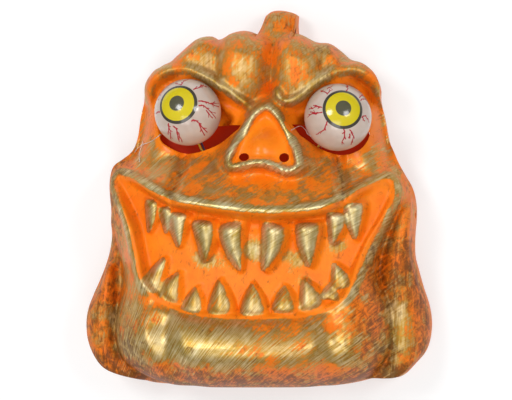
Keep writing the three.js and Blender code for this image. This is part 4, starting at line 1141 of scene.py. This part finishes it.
# Battery box, its cover and its switch
# Small mouldings of black ABS with a spark-eroded grain, and a pale slide at one end. They sit
# behind the mouth, where they don't show, so the solids only take their materials here.
def grained_plastic(name, shade, roughness):
    """Moulded ABS, a little worn in its gloss. Its fine grain is drawn coarser, at 0.4 mm."""
    material, tree, shader = new_material(name)
    place = add_node(tree, "ShaderNodeTexCoord").outputs["Object"]
    grain = add_node(tree, "ShaderNodeTexNoise", {"Vector": place, "Scale": 1 / (0.4 * MM),
                                                  "Detail": 2.0}).outputs[0]
    rubbed = add_node(tree, "ShaderNodeTexNoise", {"Vector": place, "Scale": 1 / (8.3 * MM),
                                                   "Detail": 3.0}).outputs[0]
    tone = add_node(tree, "ShaderNodeMix", {0: rubbed, 6: linear(shade),
                                            7: tuple(1.5 * c for c in linear(shade)[:3]) + (1,)},
                    data_type="RGBA").outputs[2]
    tree.links.new(tone, shader.inputs["Base Color"])
    gloss = add_node(tree, "ShaderNodeMapRange", {"Value": rubbed, "To Min": roughness - 0.08,
                                                  "To Max": roughness + 0.08}).outputs[0]
    tree.links.new(gloss, shader.inputs["Roughness"])
    bump = add_node(tree, "ShaderNodeBump", {"Height": grain, "Strength": 0.4,
                                             "Distance": 0.1 * MM}).outputs[0]
    tree.links.new(bump, shader.inputs["Normal"])
    return material


black_abs = grained_plastic("grained_black_abs", "#1b1c1e", 0.55)
grey_abs = grained_plastic("grained_grey_abs", "#c4c4bf", 0.45)
for node, plastic in (("battery_box", black_abs), ("battery_cover", black_abs),
                      ("battery_switch", grey_abs)):
    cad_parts[node].material_slots[0].material = plastic

# Floor, light and camera
# A plain white light table, lit a little from below so that shadows stay pale, two soft lamps
# beside the camera with a larger one below it, and the camera at the photograph's angle.
FLOOR_REACH = 20
corners = [(a * FLOOR_REACH, b * FLOOR_REACH, 0) for a, b in ((-1, -1), (1, -1), (1, 1), (-1, 1))]
floor = new_piece("floor", corners, [(0, 1, 2, 3)])
floor_material, _, floor_shader = new_material("white_light_table")
floor_shader.inputs["Base Color"].default_value = linear("#aeaeae")
floor_shader.inputs["Emission Color"].default_value = linear("#ffffff")
floor_shader.inputs["Emission Strength"].default_value = 0.52
floor_shader.inputs["Roughness"].default_value = 0.9
floor.data.materials.append(floor_material)

bpy.context.scene.view_settings.view_transform = "Standard"
world = bpy.data.worlds.new("studio")
bpy.context.scene.world = world
world.use_nodes = True
sky = world.node_tree
way_up = add_node(sky, "ShaderNodeSeparateXYZ",
                  {0: add_node(sky, "ShaderNodeTexCoord").outputs["Generated"]}).outputs[2]
overhead = add_node(sky, "ShaderNodeMapRange", {"Value": way_up, "From Min": 0.1, "From Max": 0.7,
                                                "To Min": 0.12, "To Max": 0.52}).outputs[0]
sky.nodes["Background"].inputs["Color"].default_value = (1, 1, 1, 1)
sky.links.new(overhead, sky.nodes["Background"].inputs["Strength"])

AIM_HEIGHT = 0.05
LAMP_DISTANCE = 1.1
aim = face_zero + np.array([0, 0, AIM_HEIGHT])


def soft_lamp(name, across, up, size, power):
    """A square soft lamp, placed by its angles from the camera's line of sight."""
    turn, lift = math.radians(across), math.radians(up)
    way = (math.sin(turn) * math.cos(lift) * look_right + math.sin(lift) * look_up
           + math.cos(turn) * math.cos(lift) * look_back)
    light = bpy.data.lights.new(name, "AREA")
    light.size = size
    light.energy = power
    lamp = bpy.data.objects.new(name, light)
    bpy.context.scene.collection.objects.link(lamp)
    lamp.location = aim + way * LAMP_DISTANCE
    lamp.rotation_mode = "QUATERNION"
    lamp.rotation_quaternion = Vector(way).to_track_quat("Z", "Y")


soft_lamp("left_lamp", -30, 16, 0.3, 5.4)
soft_lamp("right_lamp", 28, 12, 0.3, 4)
soft_lamp("low_lamp", -8, -28, 0.6, 4)

camera_data = bpy.data.cameras.new("camera")
camera = bpy.data.objects.new("camera", camera_data)
bpy.context.scene.collection.objects.link(camera)

# The photograph's pixels across, and the pixels that 1 m takes at the camera's distance
PIXELS_ACROSS = 512
PIXELS_PER_METRE = 1667
CAMERA_DISTANCE = 1
camera_data.sensor_width = 36
camera_data.lens = camera_data.sensor_width * PIXELS_PER_METRE / PIXELS_ACROSS
axes = Matrix([look_right, look_up, look_back]).transposed().to_4x4()
camera.matrix_world = Matrix.Translation(aim + look_back * CAMERA_DISTANCE) @ axes
bpy.context.scene.camera = camera
